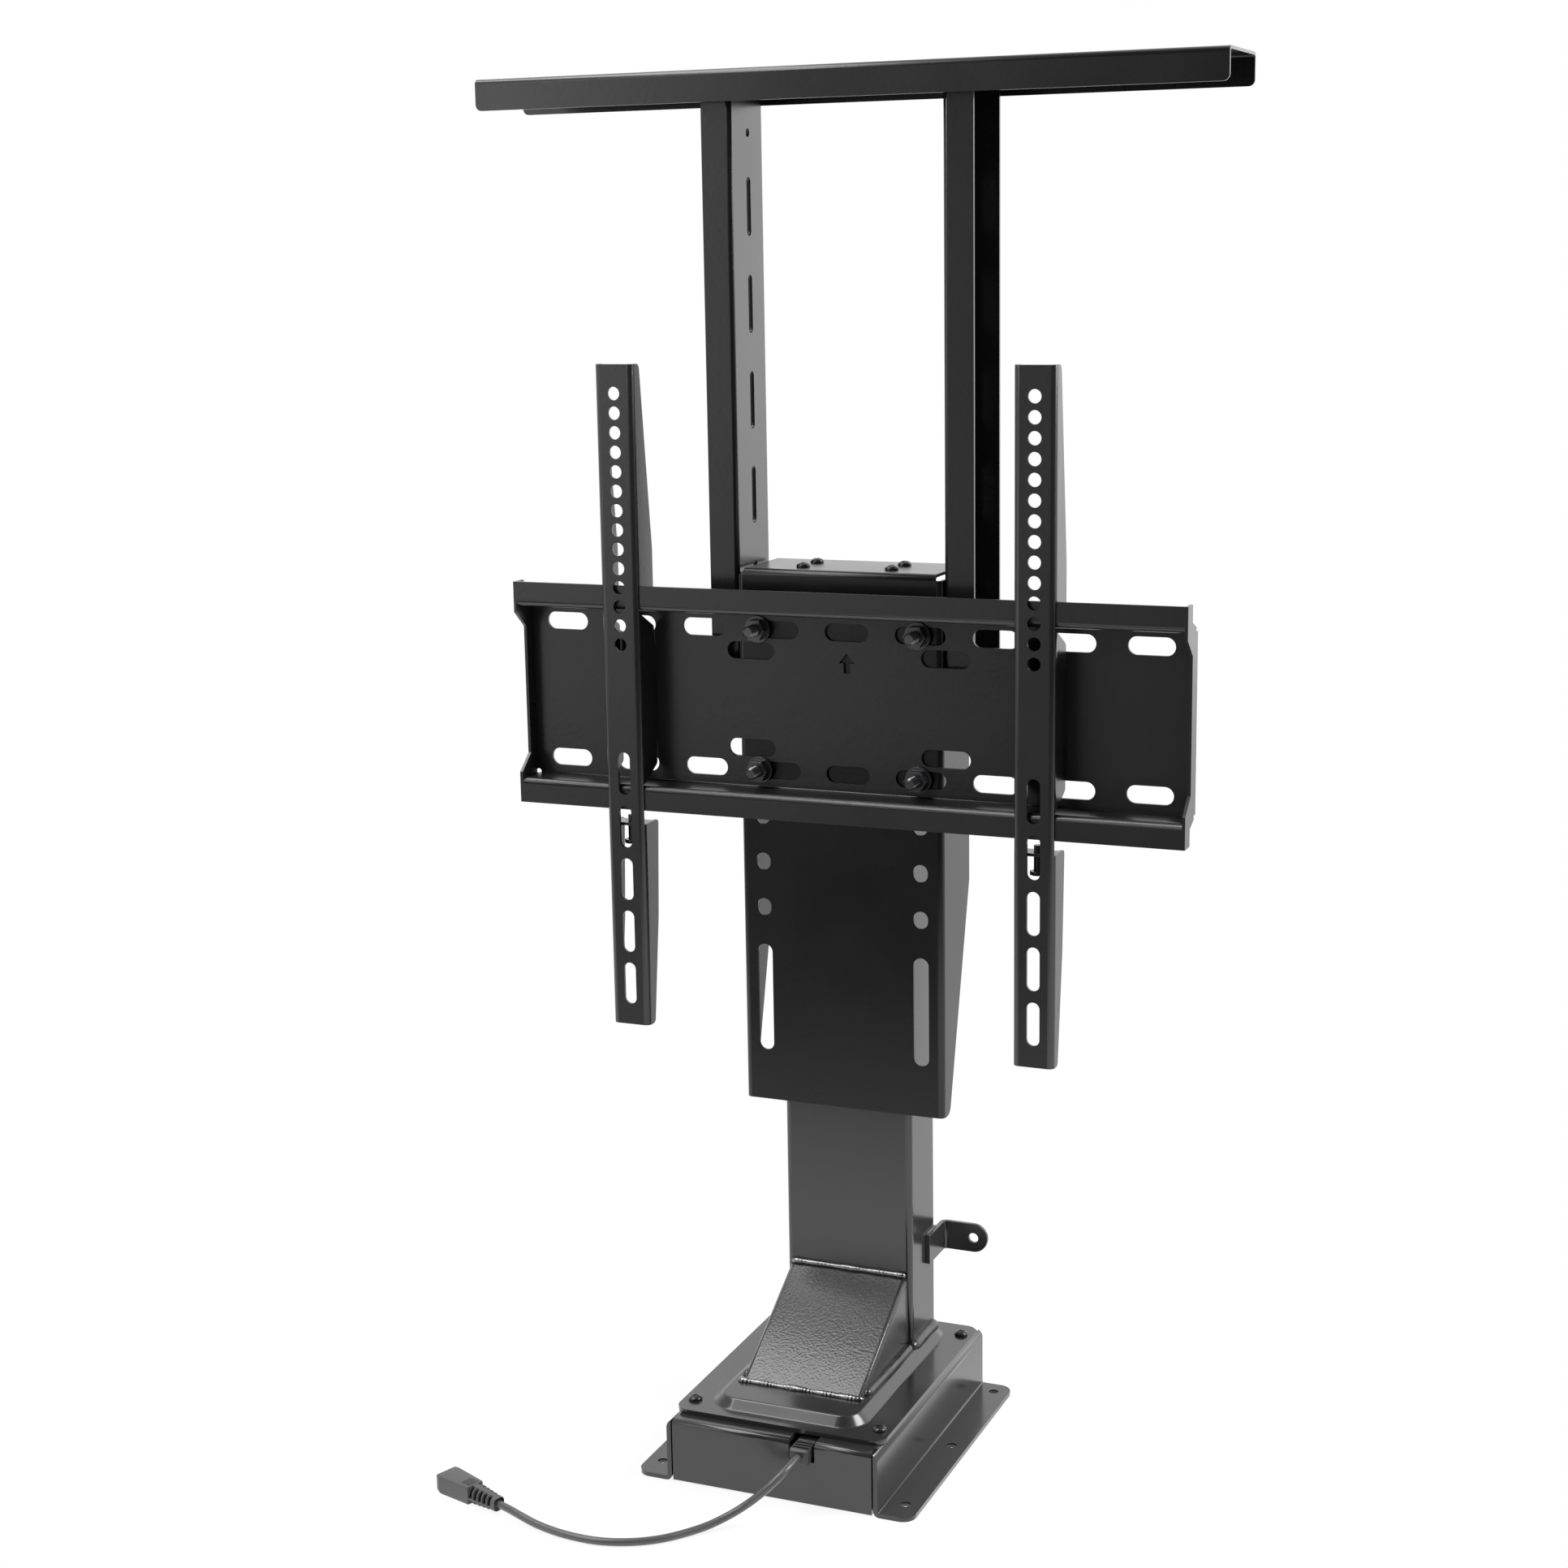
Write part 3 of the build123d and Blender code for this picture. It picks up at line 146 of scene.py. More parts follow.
def finish(name, colour, roughness, metallic=0.0, cloud=CLOUD_SCALE, grain=GRAIN_SCALE,
           shade=0.12, rough_spread=0.10, bump=0.1, depth=0.0001, specular=0.5):
    """A material whose colour and roughness drift a little, with a fine bumpy grain."""
    material, tree, shader = new_material(name, specular)
    shader.inputs["Metallic"].default_value = metallic
    mottle = add_node(tree, "ShaderNodeGroup", {"Cloud Scale": cloud, "Grain Scale": grain},
                      node_tree=MOTTLE)
    tint = add_node(tree, "ShaderNodeMix", {
        "Factor": mottle.outputs["Cloud"], "A": scaled(colour, 1 - shade),
        "B": scaled(colour, 1 + shade)}, data_type="RGBA")
    span = add_node(tree, "ShaderNodeMapRange", {
        "Value": mottle.outputs["Grain"], "To Min": roughness - rough_spread / 2,
        "To Max": roughness + rough_spread / 2})
    relief = add_node(tree, "ShaderNodeBump", {
        "Strength": bump, "Distance": depth, "Height": mottle.outputs["Grain"]})
    tree.links.new(tint.outputs["Result"], shader.inputs["Base Color"])
    tree.links.new(span.outputs["Result"], shader.inputs["Roughness"])
    tree.links.new(relief.outputs["Normal"], shader.inputs["Normal"])
    return material


lead_vinyl = finish("lead_vinyl", LEAD_COLOUR, roughness=0.33, grain=1600.0, bump=0.05)
lead_data = bpy.data.curves.new("power_cable", "CURVE")
lead_data.dimensions = "3D"
lead_data.resolution_u = LEAD_STEPS
lead_data.bevel_depth = LEAD_RADIUS
lead_data.bevel_resolution = LEAD_SIDES
lead_data.use_fill_caps = True
lead_line = lead_data.splines.new("NURBS")
lead_line.points.add(len(LEAD_ROUTE) - 1)
for point, spot in zip(lead_line.points, LEAD_ROUTE):
    point.co = (*spot, 1.0)
lead_line.order_u = 3
lead_line.use_endpoint_u = True
lead = add_object("power_cable", lead_data)
lead_data.materials.append(lead_vinyl)
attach(lead, "base")
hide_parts("power_lead")


# Plug on the lead's far end. A connector moulded round the cores in mid-grey vinyl: a
# square body with thumb ribs on top, and a boot of rings over a core made near-black as painted
# shade.
PLUG_LENGTH = 0.0290
PLUG_WIDTH = 0.0172
PLUG_NECK = 0.0130
PLUG_HEIGHT = 0.0120
PLUG_NOSE = 0.0030
PLUG_HEEL = 0.0060
PLUG_HEEL_RISE = 0.0020
PLUG_EDGE = 0.0008
PLUG_EDGE_STEPS = 3
PLUG_CORNER_SHARE = 0.06
PLUG_LAP = 0.0004
BOOT_LENGTH = 0.0235
BOOT_END = 0.0088
BOOT_COLLAR = 0.0034
BOOT_RINGS = 5
BOOT_RING_SHARE = 0.27
BOOT_BAR_REACH_SHARE = 0.99
BOOT_BAR_SHARE = 0.13
BOOT_BAR_DROP = -0.0018
BOOT_SPINE_SHARE = 0.34
BOOT_CORE_SHARE = 0.74
BOOT_MOUTH = 0.0018
BOOT_MOUTH_SHARES = (0.70, 0.76, 0.92)
BOOT_RIM = 0.0002
BOOT_RIM_SHARE = 0.93
BOOT_CORNER_SHARE = 0.34
BOOT_BAR_CORNER_SHARE = 0.10
BOOT_CORNER_STEPS = 5
THUMB_RIBS = 7
THUMB_RIB_START = 0.0012
THUMB_RIB_PITCH = 0.0011
THUMB_RIB_WIDTH_SHARE = 0.62
THUMB_RIB_HEIGHT = 0.0008
THUMB_RIB_SINK = 0.0001
THUMB_RIB_EDGE = 0.00015
PLUG_COLOUR = (0.060, 0.060, 0.062)
# Near-black core colour: painted shade for the deep openings between the boot's rings.
CORE_SHADE_COLOUR = (0.004, 0.004, 0.004)


def place_piece(name, mesh, material, body, replaced=()):
    """Puts a finished mesh in the scene as a piece that rides on a body."""
    piece = add_object(name, mesh)
    mesh.materials.clear()
    mesh.materials.append(material)
    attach(piece, body)
    if replaced:
        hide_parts(*replaced)
    return piece


def merge(whole, part):
    """Adds one bmesh to another, and frees it."""
    loose = bpy.data.meshes.new("part")
    part.to_mesh(loose)
    part.free()
    whole.from_mesh(loose)
    bpy.data.meshes.remove(loose)


def mesh_of(name, shape, bend=30.0):
    """Closes a bmesh into a mesh that is smooth but for its sharp edges."""
    bmesh.ops.recalc_face_normals(shape, faces=shape.faces)
    mesh = bpy.data.meshes.new(name)
    shape.to_mesh(mesh)
    shape.free()
    mesh.shade_smooth()
    mesh.set_sharp_from_angle(angle=math.radians(bend))
    return mesh


def soften(piece, width, segments):
    """Rounds a piece's sharp edges with a Bevel modifier."""
    edge = piece.modifiers.new("edge", "BEVEL")
    edge.width = width
    edge.segments = segments
    edge.limit_method = "ANGLE"
    return edge


def loft_box(stations, corner, segments=3):
    """A rounded-square rod through stations of (place along Z, width, height)."""
    shape = bmesh.new()
    corners = bmesh.ops.create_grid(shape, x_segments=1, y_segments=1, size=0.5)["verts"]
    bmesh.ops.bevel(shape, geom=corners, offset=corner, offset_type="OFFSET", affect="VERTICES",
                    segments=segments, profile=0.5, material=-1, clamp_overlap=False)
    face = shape.faces[:][-1]
    start = stations[0]
    bmesh.ops.scale(shape, verts=face.verts, vec=(start[1], start[2], 1.0))
    bmesh.ops.translate(shape, verts=face.verts, vec=(0.0, 0.0, start[0]))
    for before, after in zip(stations, stations[1:]):
        grown = bmesh.ops.extrude_face_region(shape, geom=[face], use_keep_orig=before is start)
        face = next(item for item in grown["geom"] if isinstance(item, bmesh.types.BMFace))
        bmesh.ops.scale(shape, verts=face.verts,
                        vec=(after[1] / before[1], after[2] / before[2], 1.0))
        bmesh.ops.translate(shape, verts=face.verts, vec=(0.0, 0.0, after[0] - before[0]))
    return shape


def boot_rod(rims, wide, tall, drop, corner):
    """One rod of the tapering boot, through rims of (place along the boot, share of its size)."""
    stations = []
    for place, pinch in rims:
        share = place / BOOT_LENGTH
        width = BOOT_END + (PLUG_NECK - BOOT_END) * share
        height = BOOT_END + (PLUG_HEIGHT - BOOT_END) * share
        stations.append((place, width * wide * pinch, height * tall * pinch))
    rod = loft_box(stations, corner, BOOT_CORNER_STEPS)
    bmesh.ops.translate(rod, verts=rod.verts, vec=(0.0, drop, 0.0))
    return rod


def rounded_ends(low, high):
    """The rims of a rod from low to high whose ends are drawn in a little."""
    return [(low, BOOT_RIM_SHARE), (low + BOOT_RIM, 1.0), (high - BOOT_RIM, 1.0),
            (high, BOOT_RIM_SHARE)]


def plug_boot():
    """The boot: a hollow collar and rings round the lead, held by side bars and a spine."""
    shape = bmesh.new()
    inner, rim, lip = BOOT_MOUTH_SHARES
    collar = [(BOOT_MOUTH, inner), (0.0, rim), (0.0, lip)] + rounded_ends(0.0, BOOT_COLLAR)[1:]
    merge(shape, boot_rod(collar, 1.0, 1.0, 0.0, BOOT_CORNER_SHARE))
    pitch = (BOOT_LENGTH - BOOT_COLLAR) / BOOT_RINGS
    for ring in range(BOOT_RINGS):
        start = BOOT_COLLAR + pitch * (ring + 1 - BOOT_RING_SHARE)
        ends = rounded_ends(start, start + pitch * BOOT_RING_SHARE)
        merge(shape, boot_rod(ends, 1.0, 1.0, 0.0, BOOT_CORNER_SHARE))
    bars = rounded_ends(BOOT_MOUTH, BOOT_LENGTH)
    merge(shape, boot_rod(bars, BOOT_BAR_REACH_SHARE, BOOT_BAR_SHARE, BOOT_BAR_DROP,
                          BOOT_BAR_CORNER_SHARE))
    merge(shape, boot_rod(bars, BOOT_SPINE_SHARE, BOOT_BAR_REACH_SHARE, 0.0,
                          BOOT_BAR_CORNER_SHARE))
    return shape


def plug_core():
    """The inner moulding that shows between the boot's rings, near-black as painted shade."""
    return loft_box([(BOOT_MOUTH, BOOT_CORE_SHARE * BOOT_END, BOOT_CORE_SHARE * BOOT_END),
                     (BOOT_LENGTH, BOOT_CORE_SHARE * PLUG_NECK, BOOT_CORE_SHARE * PLUG_HEIGHT)],
                    BOOT_CORNER_SHARE, BOOT_CORNER_STEPS)


def plug_body():
    """The body: wider towards its nose, with the lower edge of the nose cut away."""
    shape = loft_box([(0.0, PLUG_NECK, PLUG_HEIGHT),
                      (PLUG_LENGTH - PLUG_NOSE, PLUG_WIDTH, PLUG_HEIGHT),
                      (PLUG_LENGTH, PLUG_WIDTH - PLUG_NOSE / 2, PLUG_HEIGHT)],
                     PLUG_CORNER_SHARE)
    bmesh.ops.bisect_plane(
        shape, geom=shape.verts[:] + shape.edges[:] + shape.faces[:], dist=1e-6,
        plane_co=(0.0, -PLUG_HEIGHT / 2, PLUG_LENGTH - PLUG_HEEL),
        plane_no=Vector((0.0, -PLUG_HEEL, PLUG_HEEL_RISE)).normalized(), clear_outer=True)
    open_edges = [edge for edge in shape.edges if edge.is_boundary]
    bmesh.ops.holes_fill(shape, edges=open_edges, sides=0)
    bmesh.ops.translate(shape, verts=shape.verts, vec=(0.0, 0.0, BOOT_LENGTH - PLUG_LAP))
    return shape


def thumb_ribs():
    """Fine ribs across the top of the body, next to the boot."""
    shape = bmesh.new()
    for rib in range(THUMB_RIBS):
        bar = bmesh.ops.create_cube(shape, size=1.0)["verts"]
        bmesh.ops.scale(shape, verts=bar, vec=(PLUG_NECK * THUMB_RIB_WIDTH_SHARE,
                                               THUMB_RIB_HEIGHT, THUMB_RIB_PITCH / 2))
        bmesh.ops.translate(shape, verts=bar, vec=(
            0.0, PLUG_HEIGHT / 2 - THUMB_RIB_SINK,
            BOOT_LENGTH + THUMB_RIB_START + rib * THUMB_RIB_PITCH))
    bmesh.ops.bevel(shape, geom=shape.edges[:], offset=THUMB_RIB_EDGE, affect="EDGES",
                    segments=2, profile=0.5, material=-1)
    return shape


def plug_piece(name, shape, material):
    """Turns a shape built along Z, with its top towards Y, onto the lead's end."""
    end = Vector(LEAD_ROUTE[-1])
    along = (end - Vector(LEAD_ROUTE[-2])).normalized()
    side = Vector((-along.y, along.x, 0.0))
    turn = Matrix((side, along.cross(side), along)).transposed().to_4x4()
    bmesh.ops.transform(shape, matrix=Matrix.Translation(end) @ turn, verts=shape.verts)
    return place_piece(name, mesh_of(name, shape), material, "base")


plug_vinyl = finish("plug_vinyl", PLUG_COLOUR, roughness=0.5, grain=1300.0, bump=0.25)
# The core gets a near-black colour and almost no shine, as painted shade in the boot's openings.
core_shade_vinyl = finish("core_shade_vinyl", CORE_SHADE_COLOUR, roughness=0.7, grain=1300.0, specular=0.06)
boot = plug_piece("plug_boot", plug_boot(), plug_vinyl)
body = plug_piece("plug_body", plug_body(), plug_vinyl)
core = plug_piece("plug_core", plug_core(), core_shade_vinyl)
ribs = plug_piece("plug_thumb_ribs", thumb_ribs(), plug_vinyl)
soften(body, PLUG_EDGE, PLUG_EDGE_STEPS)
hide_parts("lead_plug")


# Cable gland. A moulded black block that snaps into the notch of the base box, with
# grip grooves round it and a slightly smaller front where the lead comes out.
GLAND_TAPER = 0.0020
GLAND_RIBS = 4
GLAND_RIB_DEPTH = 0.0008
GLAND_RIBBED_SHARE = 0.62
GLAND_FIRST_SHARE = 0.4
GLAND_GROOVE_SHARES = ((0.0, 0.0), (0.04, 1.0), (0.5, 1.0), (0.54, 0.0))
GLAND_CORNER_SHARE = 0.08
GLAND_EDGE = 0.0002
NYLON_COLOUR = (0.022, 0.022, 0.023)
gland_low, gland_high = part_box("cable_gland")
gland_size = gland_high - gland_low
gland_middle = (gland_low + gland_high) / 2
gland_pitch = gland_size.y * GLAND_RIBBED_SHARE / GLAND_RIBS
gland_stations = [(0.0, gland_size.x - GLAND_TAPER, gland_size.z - GLAND_TAPER),
                  (GLAND_TAPER, gland_size.x, gland_size.z)]
for rib in range(GLAND_RIBS):
    start = GLAND_TAPER + gland_pitch * (rib + GLAND_FIRST_SHARE)
    for share, shrink in GLAND_GROOVE_SHARES:
        groove = 2 * GLAND_RIB_DEPTH * shrink
        gland_stations.append((start + gland_pitch * share,
                               gland_size.x - groove, gland_size.z - groove))
gland_stations.append((gland_size.y, gland_size.x, gland_size.z))
gland_shape = loft_box(gland_stations, GLAND_CORNER_SHARE)
bmesh.ops.rotate(gland_shape, verts=gland_shape.verts, cent=(0, 0, 0),
                 matrix=Matrix.Rotation(math.radians(-90), 3, "X"))
bmesh.ops.translate(gland_shape, verts=gland_shape.verts,
                    vec=(gland_middle.x, gland_low.y, gland_middle.z))
black_nylon = finish("black_nylon", NYLON_COLOUR, roughness=0.42, grain=1500.0, bump=0.2)
gland = place_piece("ribbed_gland", mesh_of("ribbed_gland", gland_shape), black_nylon, "base",
                    ["cable_gland"])
soften(gland, GLAND_EDGE, 2)


# Powder-coated steel. Every folded sheet and tube is sprayed with black powder and baked,
# which leaves a satin skin with a faint orange peel and rounds each cut edge.
UPPER_COAT = (0.0048, 0.0048, 0.0050)
SATIN_COAT = (0.0085, 0.0085, 0.0088)
# The carriage's coat is darker and less shiny: painted shade, so it reads as shadow through the
# wall plate's slots.
CARRIAGE_SHADE_COAT = (0.0030, 0.0030, 0.0031)
BASE_COAT = (0.0130, 0.0130, 0.0134)
COAT_LIGHTER = 2.4
PEEL_DEPTH = 0.0003
PEEL_DETAIL = 1.5
POWDER_SCALE = 1900.0
POWDER_DETAIL = 2.0
POWDER_HEIGHT_SHARE = 0.05
POWDER_SPECKS = (0.62, 0.80)
DRIFT_SCALE = 14.0
DRIFT_DETAIL = 4.0
DRIFT_ROUGHNESS = 0.16
DRIFT_SHADE = 0.35
COAT_EDGE = 0.00045
PUNCHED_EDGE = 0.00080
EDGE_ANGLE = math.radians(40)
FLAT_ANGLE = math.radians(0.5)
WELD_GAP = 0.00001
LID_NODES = ("left_upright", "right_upright", "lid_bar", "left_lock_strip", "right_lock_strip")
PUNCHED_NODES = ("wall_plate", "left_arm", "right_arm")
BASE_NODES = [name for name, node in NODES.items()
              if node.data.materials and node.data.materials[0].name.startswith("black_coat")
              and name not in LID_NODES + PUNCHED_NODES + ("carriage", "gusset")]


def ramp(tree, value, start, end, low=0.0, high=1.0):
    """Takes a value from one range to another, and holds it there."""
    return add_node(tree, "ShaderNodeMapRange", {
        "Value": value, "From Min": start, "From Max": end,
        "To Min": low, "To Max": high}).outputs["Result"]


def maths(tree, operation, *values):
    """One sum of two or three values."""
    return add_node(tree, "ShaderNodeMath", dict(enumerate(values)),
                    operation=operation).outputs["Value"]


def noise(tree, place, scale, detail):
    """Soft noise around one half, on a place."""
    return add_node(tree, "ShaderNodeTexNoise", {
        "Vector": place, "Scale": scale, "Detail": detail}).outputs["Fac"]


def powder_group():
    """Skin of baked powder: the height of its peel, its roughness and its drifting shade."""
    group, start, end = new_group(
        "baked_powder", {"Peel Scale": 260.0, "Dust": 0.35, "Roughness": 0.33},
        ("Shade", "Roughness", "Height"))
    place = add_node(group, "ShaderNodeTexCoord").outputs["Object"]
    peel = noise(group, place, start.outputs["Peel Scale"], PEEL_DETAIL)
    powder = noise(group, place, POWDER_SCALE, POWDER_DETAIL)
    drift = noise(group, place, DRIFT_SCALE, DRIFT_DETAIL)
    dust = maths(group, "MULTIPLY", ramp(group, powder, *POWDER_SPECKS), start.outputs["Dust"])
    skin = {
        "Height": maths(group, "MULTIPLY_ADD", powder, POWDER_HEIGHT_SHARE, peel),
        "Roughness": maths(group, "MULTIPLY_ADD", drift, DRIFT_ROUGHNESS,
                           start.outputs["Roughness"]),
        "Shade": maths(group, "MULTIPLY_ADD", drift, DRIFT_SHADE, dust),
    }
    for name, value in skin.items():
        group.links.new(value, end.inputs[name])
    return group


POWDER = powder_group()


def powder_coat(name, colour, roughness, peel_scale, peel, dust, specular=0.5):
    """Black powder coat with its own roughness and orange peel."""
    material, tree, shader = new_material(name, specular)
    skin = add_node(tree, "ShaderNodeGroup", {
        "Peel Scale": peel_scale, "Dust": dust, "Roughness": roughness}, node_tree=POWDER)
    tint = add_node(tree, "ShaderNodeMix", {
        "Factor": skin.outputs["Shade"], "A": scaled(colour, 1.0),
        "B": scaled(colour, COAT_LIGHTER)}, data_type="RGBA")
    relief = add_node(tree, "ShaderNodeBump", {
        "Strength": peel, "Distance": PEEL_DEPTH, "Height": skin.outputs["Height"]})
    tree.links.new(tint.outputs["Result"], shader.inputs["Base Color"])
    tree.links.new(skin.outputs["Roughness"], shader.inputs["Roughness"])
    tree.links.new(relief.outputs["Normal"], shader.inputs["Normal"])
    return material


def round_edges(node, width):
    """Welds a CAD node's loose triangles and rounds its sharp edges."""
    weld = node.modifiers.new("weld", "WELD")
    weld.merge_threshold = WELD_GAP
    flat = node.modifiers.new("flat", "DECIMATE")
    flat.decimate_type = "DISSOLVE"
    flat.angle_limit = FLAT_ANGLE
    edge = soften(node, width, 2)
    edge.angle_limit = EDGE_ANGLE
    edge.use_clamp_overlap = True
    edge.harden_normals = True


def dress(names, material, edge=None):
    """Gives CAD nodes their finish, and rounded edges where a width is given."""
    for name in names:
        node = NODES[name]
        node.data.materials.clear()
        node.data.materials.append(material)
        if edge:
            round_edges(node, edge)


base_coat = powder_coat("base_powder_coat", BASE_COAT, roughness=0.10, peel_scale=200.0,
                        peel=0.02, dust=0.35)
peel_coat = powder_coat("orange_peel_coat", BASE_COAT, roughness=0.12, peel_scale=600.0,
                        peel=0.40, dust=0.30)
upper_coat = powder_coat("upper_powder_coat", UPPER_COAT, roughness=0.17, peel_scale=300.0,
                         peel=0.12, dust=0.20)
satin_coat = powder_coat("satin_powder_coat", SATIN_COAT, roughness=0.22, peel_scale=300.0,
                         peel=0.20, dust=0.45)
# Darker, less shiny coat on the carriage: painted shade where it shows through the wall plate's
# slots.
carriage_shade_coat = powder_coat("carriage_shaded_powder_coat", CARRIAGE_SHADE_COAT, roughness=0.20,
                            peel_scale=300.0, peel=0.10, dust=0.20, specular=0.34)
dress(BASE_NODES, base_coat, COAT_EDGE)
dress(["gusset"], peel_coat, COAT_EDGE)
dress(LID_NODES, upper_coat, COAT_EDGE)
dress(PUNCHED_NODES, satin_coat, PUNCHED_EDGE)
dress(["carriage"], carriage_shade_coat, PUNCHED_EDGE)


# Weld beads. The gusset, the column and the stay tab are joined to their neighbours by
# hand-laid beads under the coat. The two on the gusset get a bright grey metal finish as painted
# sheen, and the others wear the base coat.
BEAD_STEP = 0.0008
BEAD_RIPPLE = 0.0021
BEAD_RIPPLE_MIDDLE = 0.6
BEAD_JITTER = 0.9
BEAD_JITTER_PACE = 430.0
BEAD_DRIFT_PACES = (190.0, 310.0)
BEAD_DRIFT_LAG = 1.3
BEAD_DRIFT_SHARE = 0.5
BEAD_END = 1.6
BEAD_TIP_SHARE = 0.04
BEAD_INSET = 0.0010
BEAD_LIFT = 0.0002
FOOT_LIFT = 0.0005
FOOT_OUT = 0.0016
FOOT_LEFT_END = Vector((-0.0015, 0.0020, 0.0004))
FOOT_RIGHT_END = Vector((0.0010, 0.0005, 0.0004))
HEAD_LIFT = 0.0006
HEAD_OUT = 0.0012
SIDE_START = 0.0060
SIDE_SPREAD = 0.0012
COLUMN_START = 0.0025
COLUMN_TUCK = 0.0008
COLUMN_TURN = 0.0080
TAB_START = 0.0020
TAB_END = 0.0140
# Bright grey metal colour for the gusset's beads: painted sheen standing in for highlights on
# their coat.
WELD_SHEEN_COLOUR = (0.17, 0.17, 0.175)


def swell(step, count, radius, uneven):
    """How thick a bead is at one step: rippled, drifting, and drawn in at both ends."""
    run = step * BEAD_STEP
    jitter = BEAD_JITTER * math.sin(run * BEAD_JITTER_PACE)
    ripple = abs(math.sin(math.pi * run / BEAD_RIPPLE + jitter)) - BEAD_RIPPLE_MIDDLE
    drift = math.sin(run * BEAD_DRIFT_PACES[0]) + math.sin(
        run * BEAD_DRIFT_PACES[1] + BEAD_DRIFT_LAG)
    from_end = min(step, count - 1 - step) * BEAD_STEP / (BEAD_END * radius)
    tip = math.sqrt(max(BEAD_TIP_SHARE, 1.0 - max(0.0, 1.0 - from_end) ** 2))
    return (1.0 + uneven * (ripple + BEAD_DRIFT_SHARE * drift)) * tip


def bead_mesh(name, line, radius, uneven):
    """A rippled bead along straight runs, as a tube whose radius swells and shrinks."""
    data = bpy.data.curves.new(name, "CURVE")
    data.dimensions = "3D"
    data.bevel_depth = radius
    data.bevel_resolution = 4
    data.use_fill_caps = True
    spots = []
    for low, high in zip(line, line[1:]):
        low, high = Vector(low), Vector(high)
        count = max(2, round((high - low).length / BEAD_STEP))
        spots += [low.lerp(high, step / count) for step in range(count)]
    spots.append(Vector(line[-1]))
    spline = data.splines.new("POLY")
    spline.points.add(len(spots) - 1)
    for step, (point, spot) in enumerate(zip(spline.points, spots)):
        point.co = (*spot, 1.0)
        point.radius = swell(step, len(spots), radius, uneven)
    holder = add_object(name, data)
    mesh = bpy.data.meshes.new_from_object(holder.evaluated_get(
        bpy.context.evaluated_depsgraph_get()))
    bpy.data.objects.remove(holder)
    mesh.shade_smooth()
    return mesh


def lay_bead(name, material, line, radius, uneven):
    """Lays one bead on the base, along the points of a line."""
    place_piece(name, bead_mesh(name, line, radius, uneven), material, "base")


# Bare-metal finish on coated beads: painted sheen for their bright highlights.
weld_painted_sheen = finish("weld_painted_sheen", WELD_SHEEN_COLOUR, roughness=0.24, metallic=1.0, cloud=420.0,
                    grain=700.0, shade=0.60, rough_spread=0.16, bump=0.45, depth=0.0004)
gusset_low, gusset_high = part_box("gusset")
column_low, column_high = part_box("outer_column")
tab_low, tab_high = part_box("stay_tab")
platform_top = gusset_low.z
lay_bead("weld_gusset_foot", weld_painted_sheen, [
    gusset_low + FOOT_LEFT_END,
    (gusset_low.x + BEAD_INSET, gusset_low.y - FOOT_OUT, platform_top + FOOT_LIFT),
    (gusset_high.x - BEAD_INSET, gusset_low.y - FOOT_OUT, platform_top + FOOT_LIFT),
    Vector((gusset_high.x, gusset_low.y, platform_top)) + FOOT_RIGHT_END],
    radius=0.0020, uneven=0.26)
lay_bead("weld_gusset_head", weld_painted_sheen, [
    (x, column_low.y - HEAD_OUT, gusset_high.z + HEAD_LIFT)
    for x in (gusset_low.x + BEAD_INSET, gusset_high.x - BEAD_INSET)],
    radius=0.0018, uneven=0.20)
for side, word, gusset_x, column_x in ((-1, "left", gusset_low.x, column_low.x),
                                       (1, "right", gusset_high.x, column_high.x)):
    seam = platform_top + BEAD_LIFT
    lay_bead("weld_gusset_" + word, base_coat, [
        (gusset_x, gusset_low.y + SIDE_START, seam),
        (gusset_x + side * SIDE_SPREAD, column_low.y + BEAD_INSET, seam)],
        radius=0.0034, uneven=0.045)
    lay_bead("weld_column_" + word, base_coat, [
        (column_x - side * COLUMN_TUCK, column_low.y - COLUMN_START, seam),
        (column_x, column_low.y + COLUMN_TURN, seam),
        (column_x, column_high.y - BEAD_INSET, seam)],
        radius=0.0044, uneven=0.035)
lay_bead("weld_column_rear", base_coat, [
    (column_low.x + BEAD_INSET, column_high.y, platform_top),
    (column_high.x - BEAD_INSET, column_high.y, platform_top)],
    radius=0.0030, uneven=0.08)
for word, z in (("top", tab_high.z), ("foot", tab_low.z)):
    lay_bead("weld_tab_" + word, base_coat, [
        (tab_low.x, tab_low.y + TAB_START, z), (tab_low.x, tab_high.y - TAB_END, z)],
        radius=0.0011, uneven=0.14)


# Machine screws. Black-plated pan heads with a cross recess hold the mounting plate on
# the base box, and the carriage's roof on the inner tube.
SCREW_HEAD = 0.0090
SCREW_RISE = 0.0032
SCREW_RIM_SHARE = 0.32
SCREW_DOME_STEPS = 8
SCREW_SIDES = 40
SCREW_FIRST_TURN = 12
CROSS_WIDTH = 0.0013
CROSS_LENGTH = 0.0050
CROSS_DEPTH = 0.0014
CROSS_TIP_SHARE = 0.2
CROSS_SLOPE_SHARE = 0.75
POLE_GAP = 0.000005
SCREW_COLOUR = (0.016, 0.016, 0.018)
screw_black = finish("black_plated_screw", SCREW_COLOUR, roughness=0.22, metallic=0.35,
                     grain=2400.0, shade=0.25, rough_spread=0.16, bump=0.08)


def turned(profile, sides):
    """Spins a profile of (radius, height) about Z into a closed skin."""
    shape = bmesh.new()
    chain = [shape.verts.new((radius, 0.0, height)) for radius, height in profile]
    edges = [shape.edges.new(pair) for pair in zip(chain, chain[1:])]
    bmesh.ops.spin(shape, geom=chain + edges, cent=(0, 0, 0), axis=(0, 0, 1),
                   angle=2 * math.pi, steps=sides, use_merge=True)
    bmesh.ops.remove_doubles(shape, verts=shape.verts, dist=POLE_GAP)
    return shape


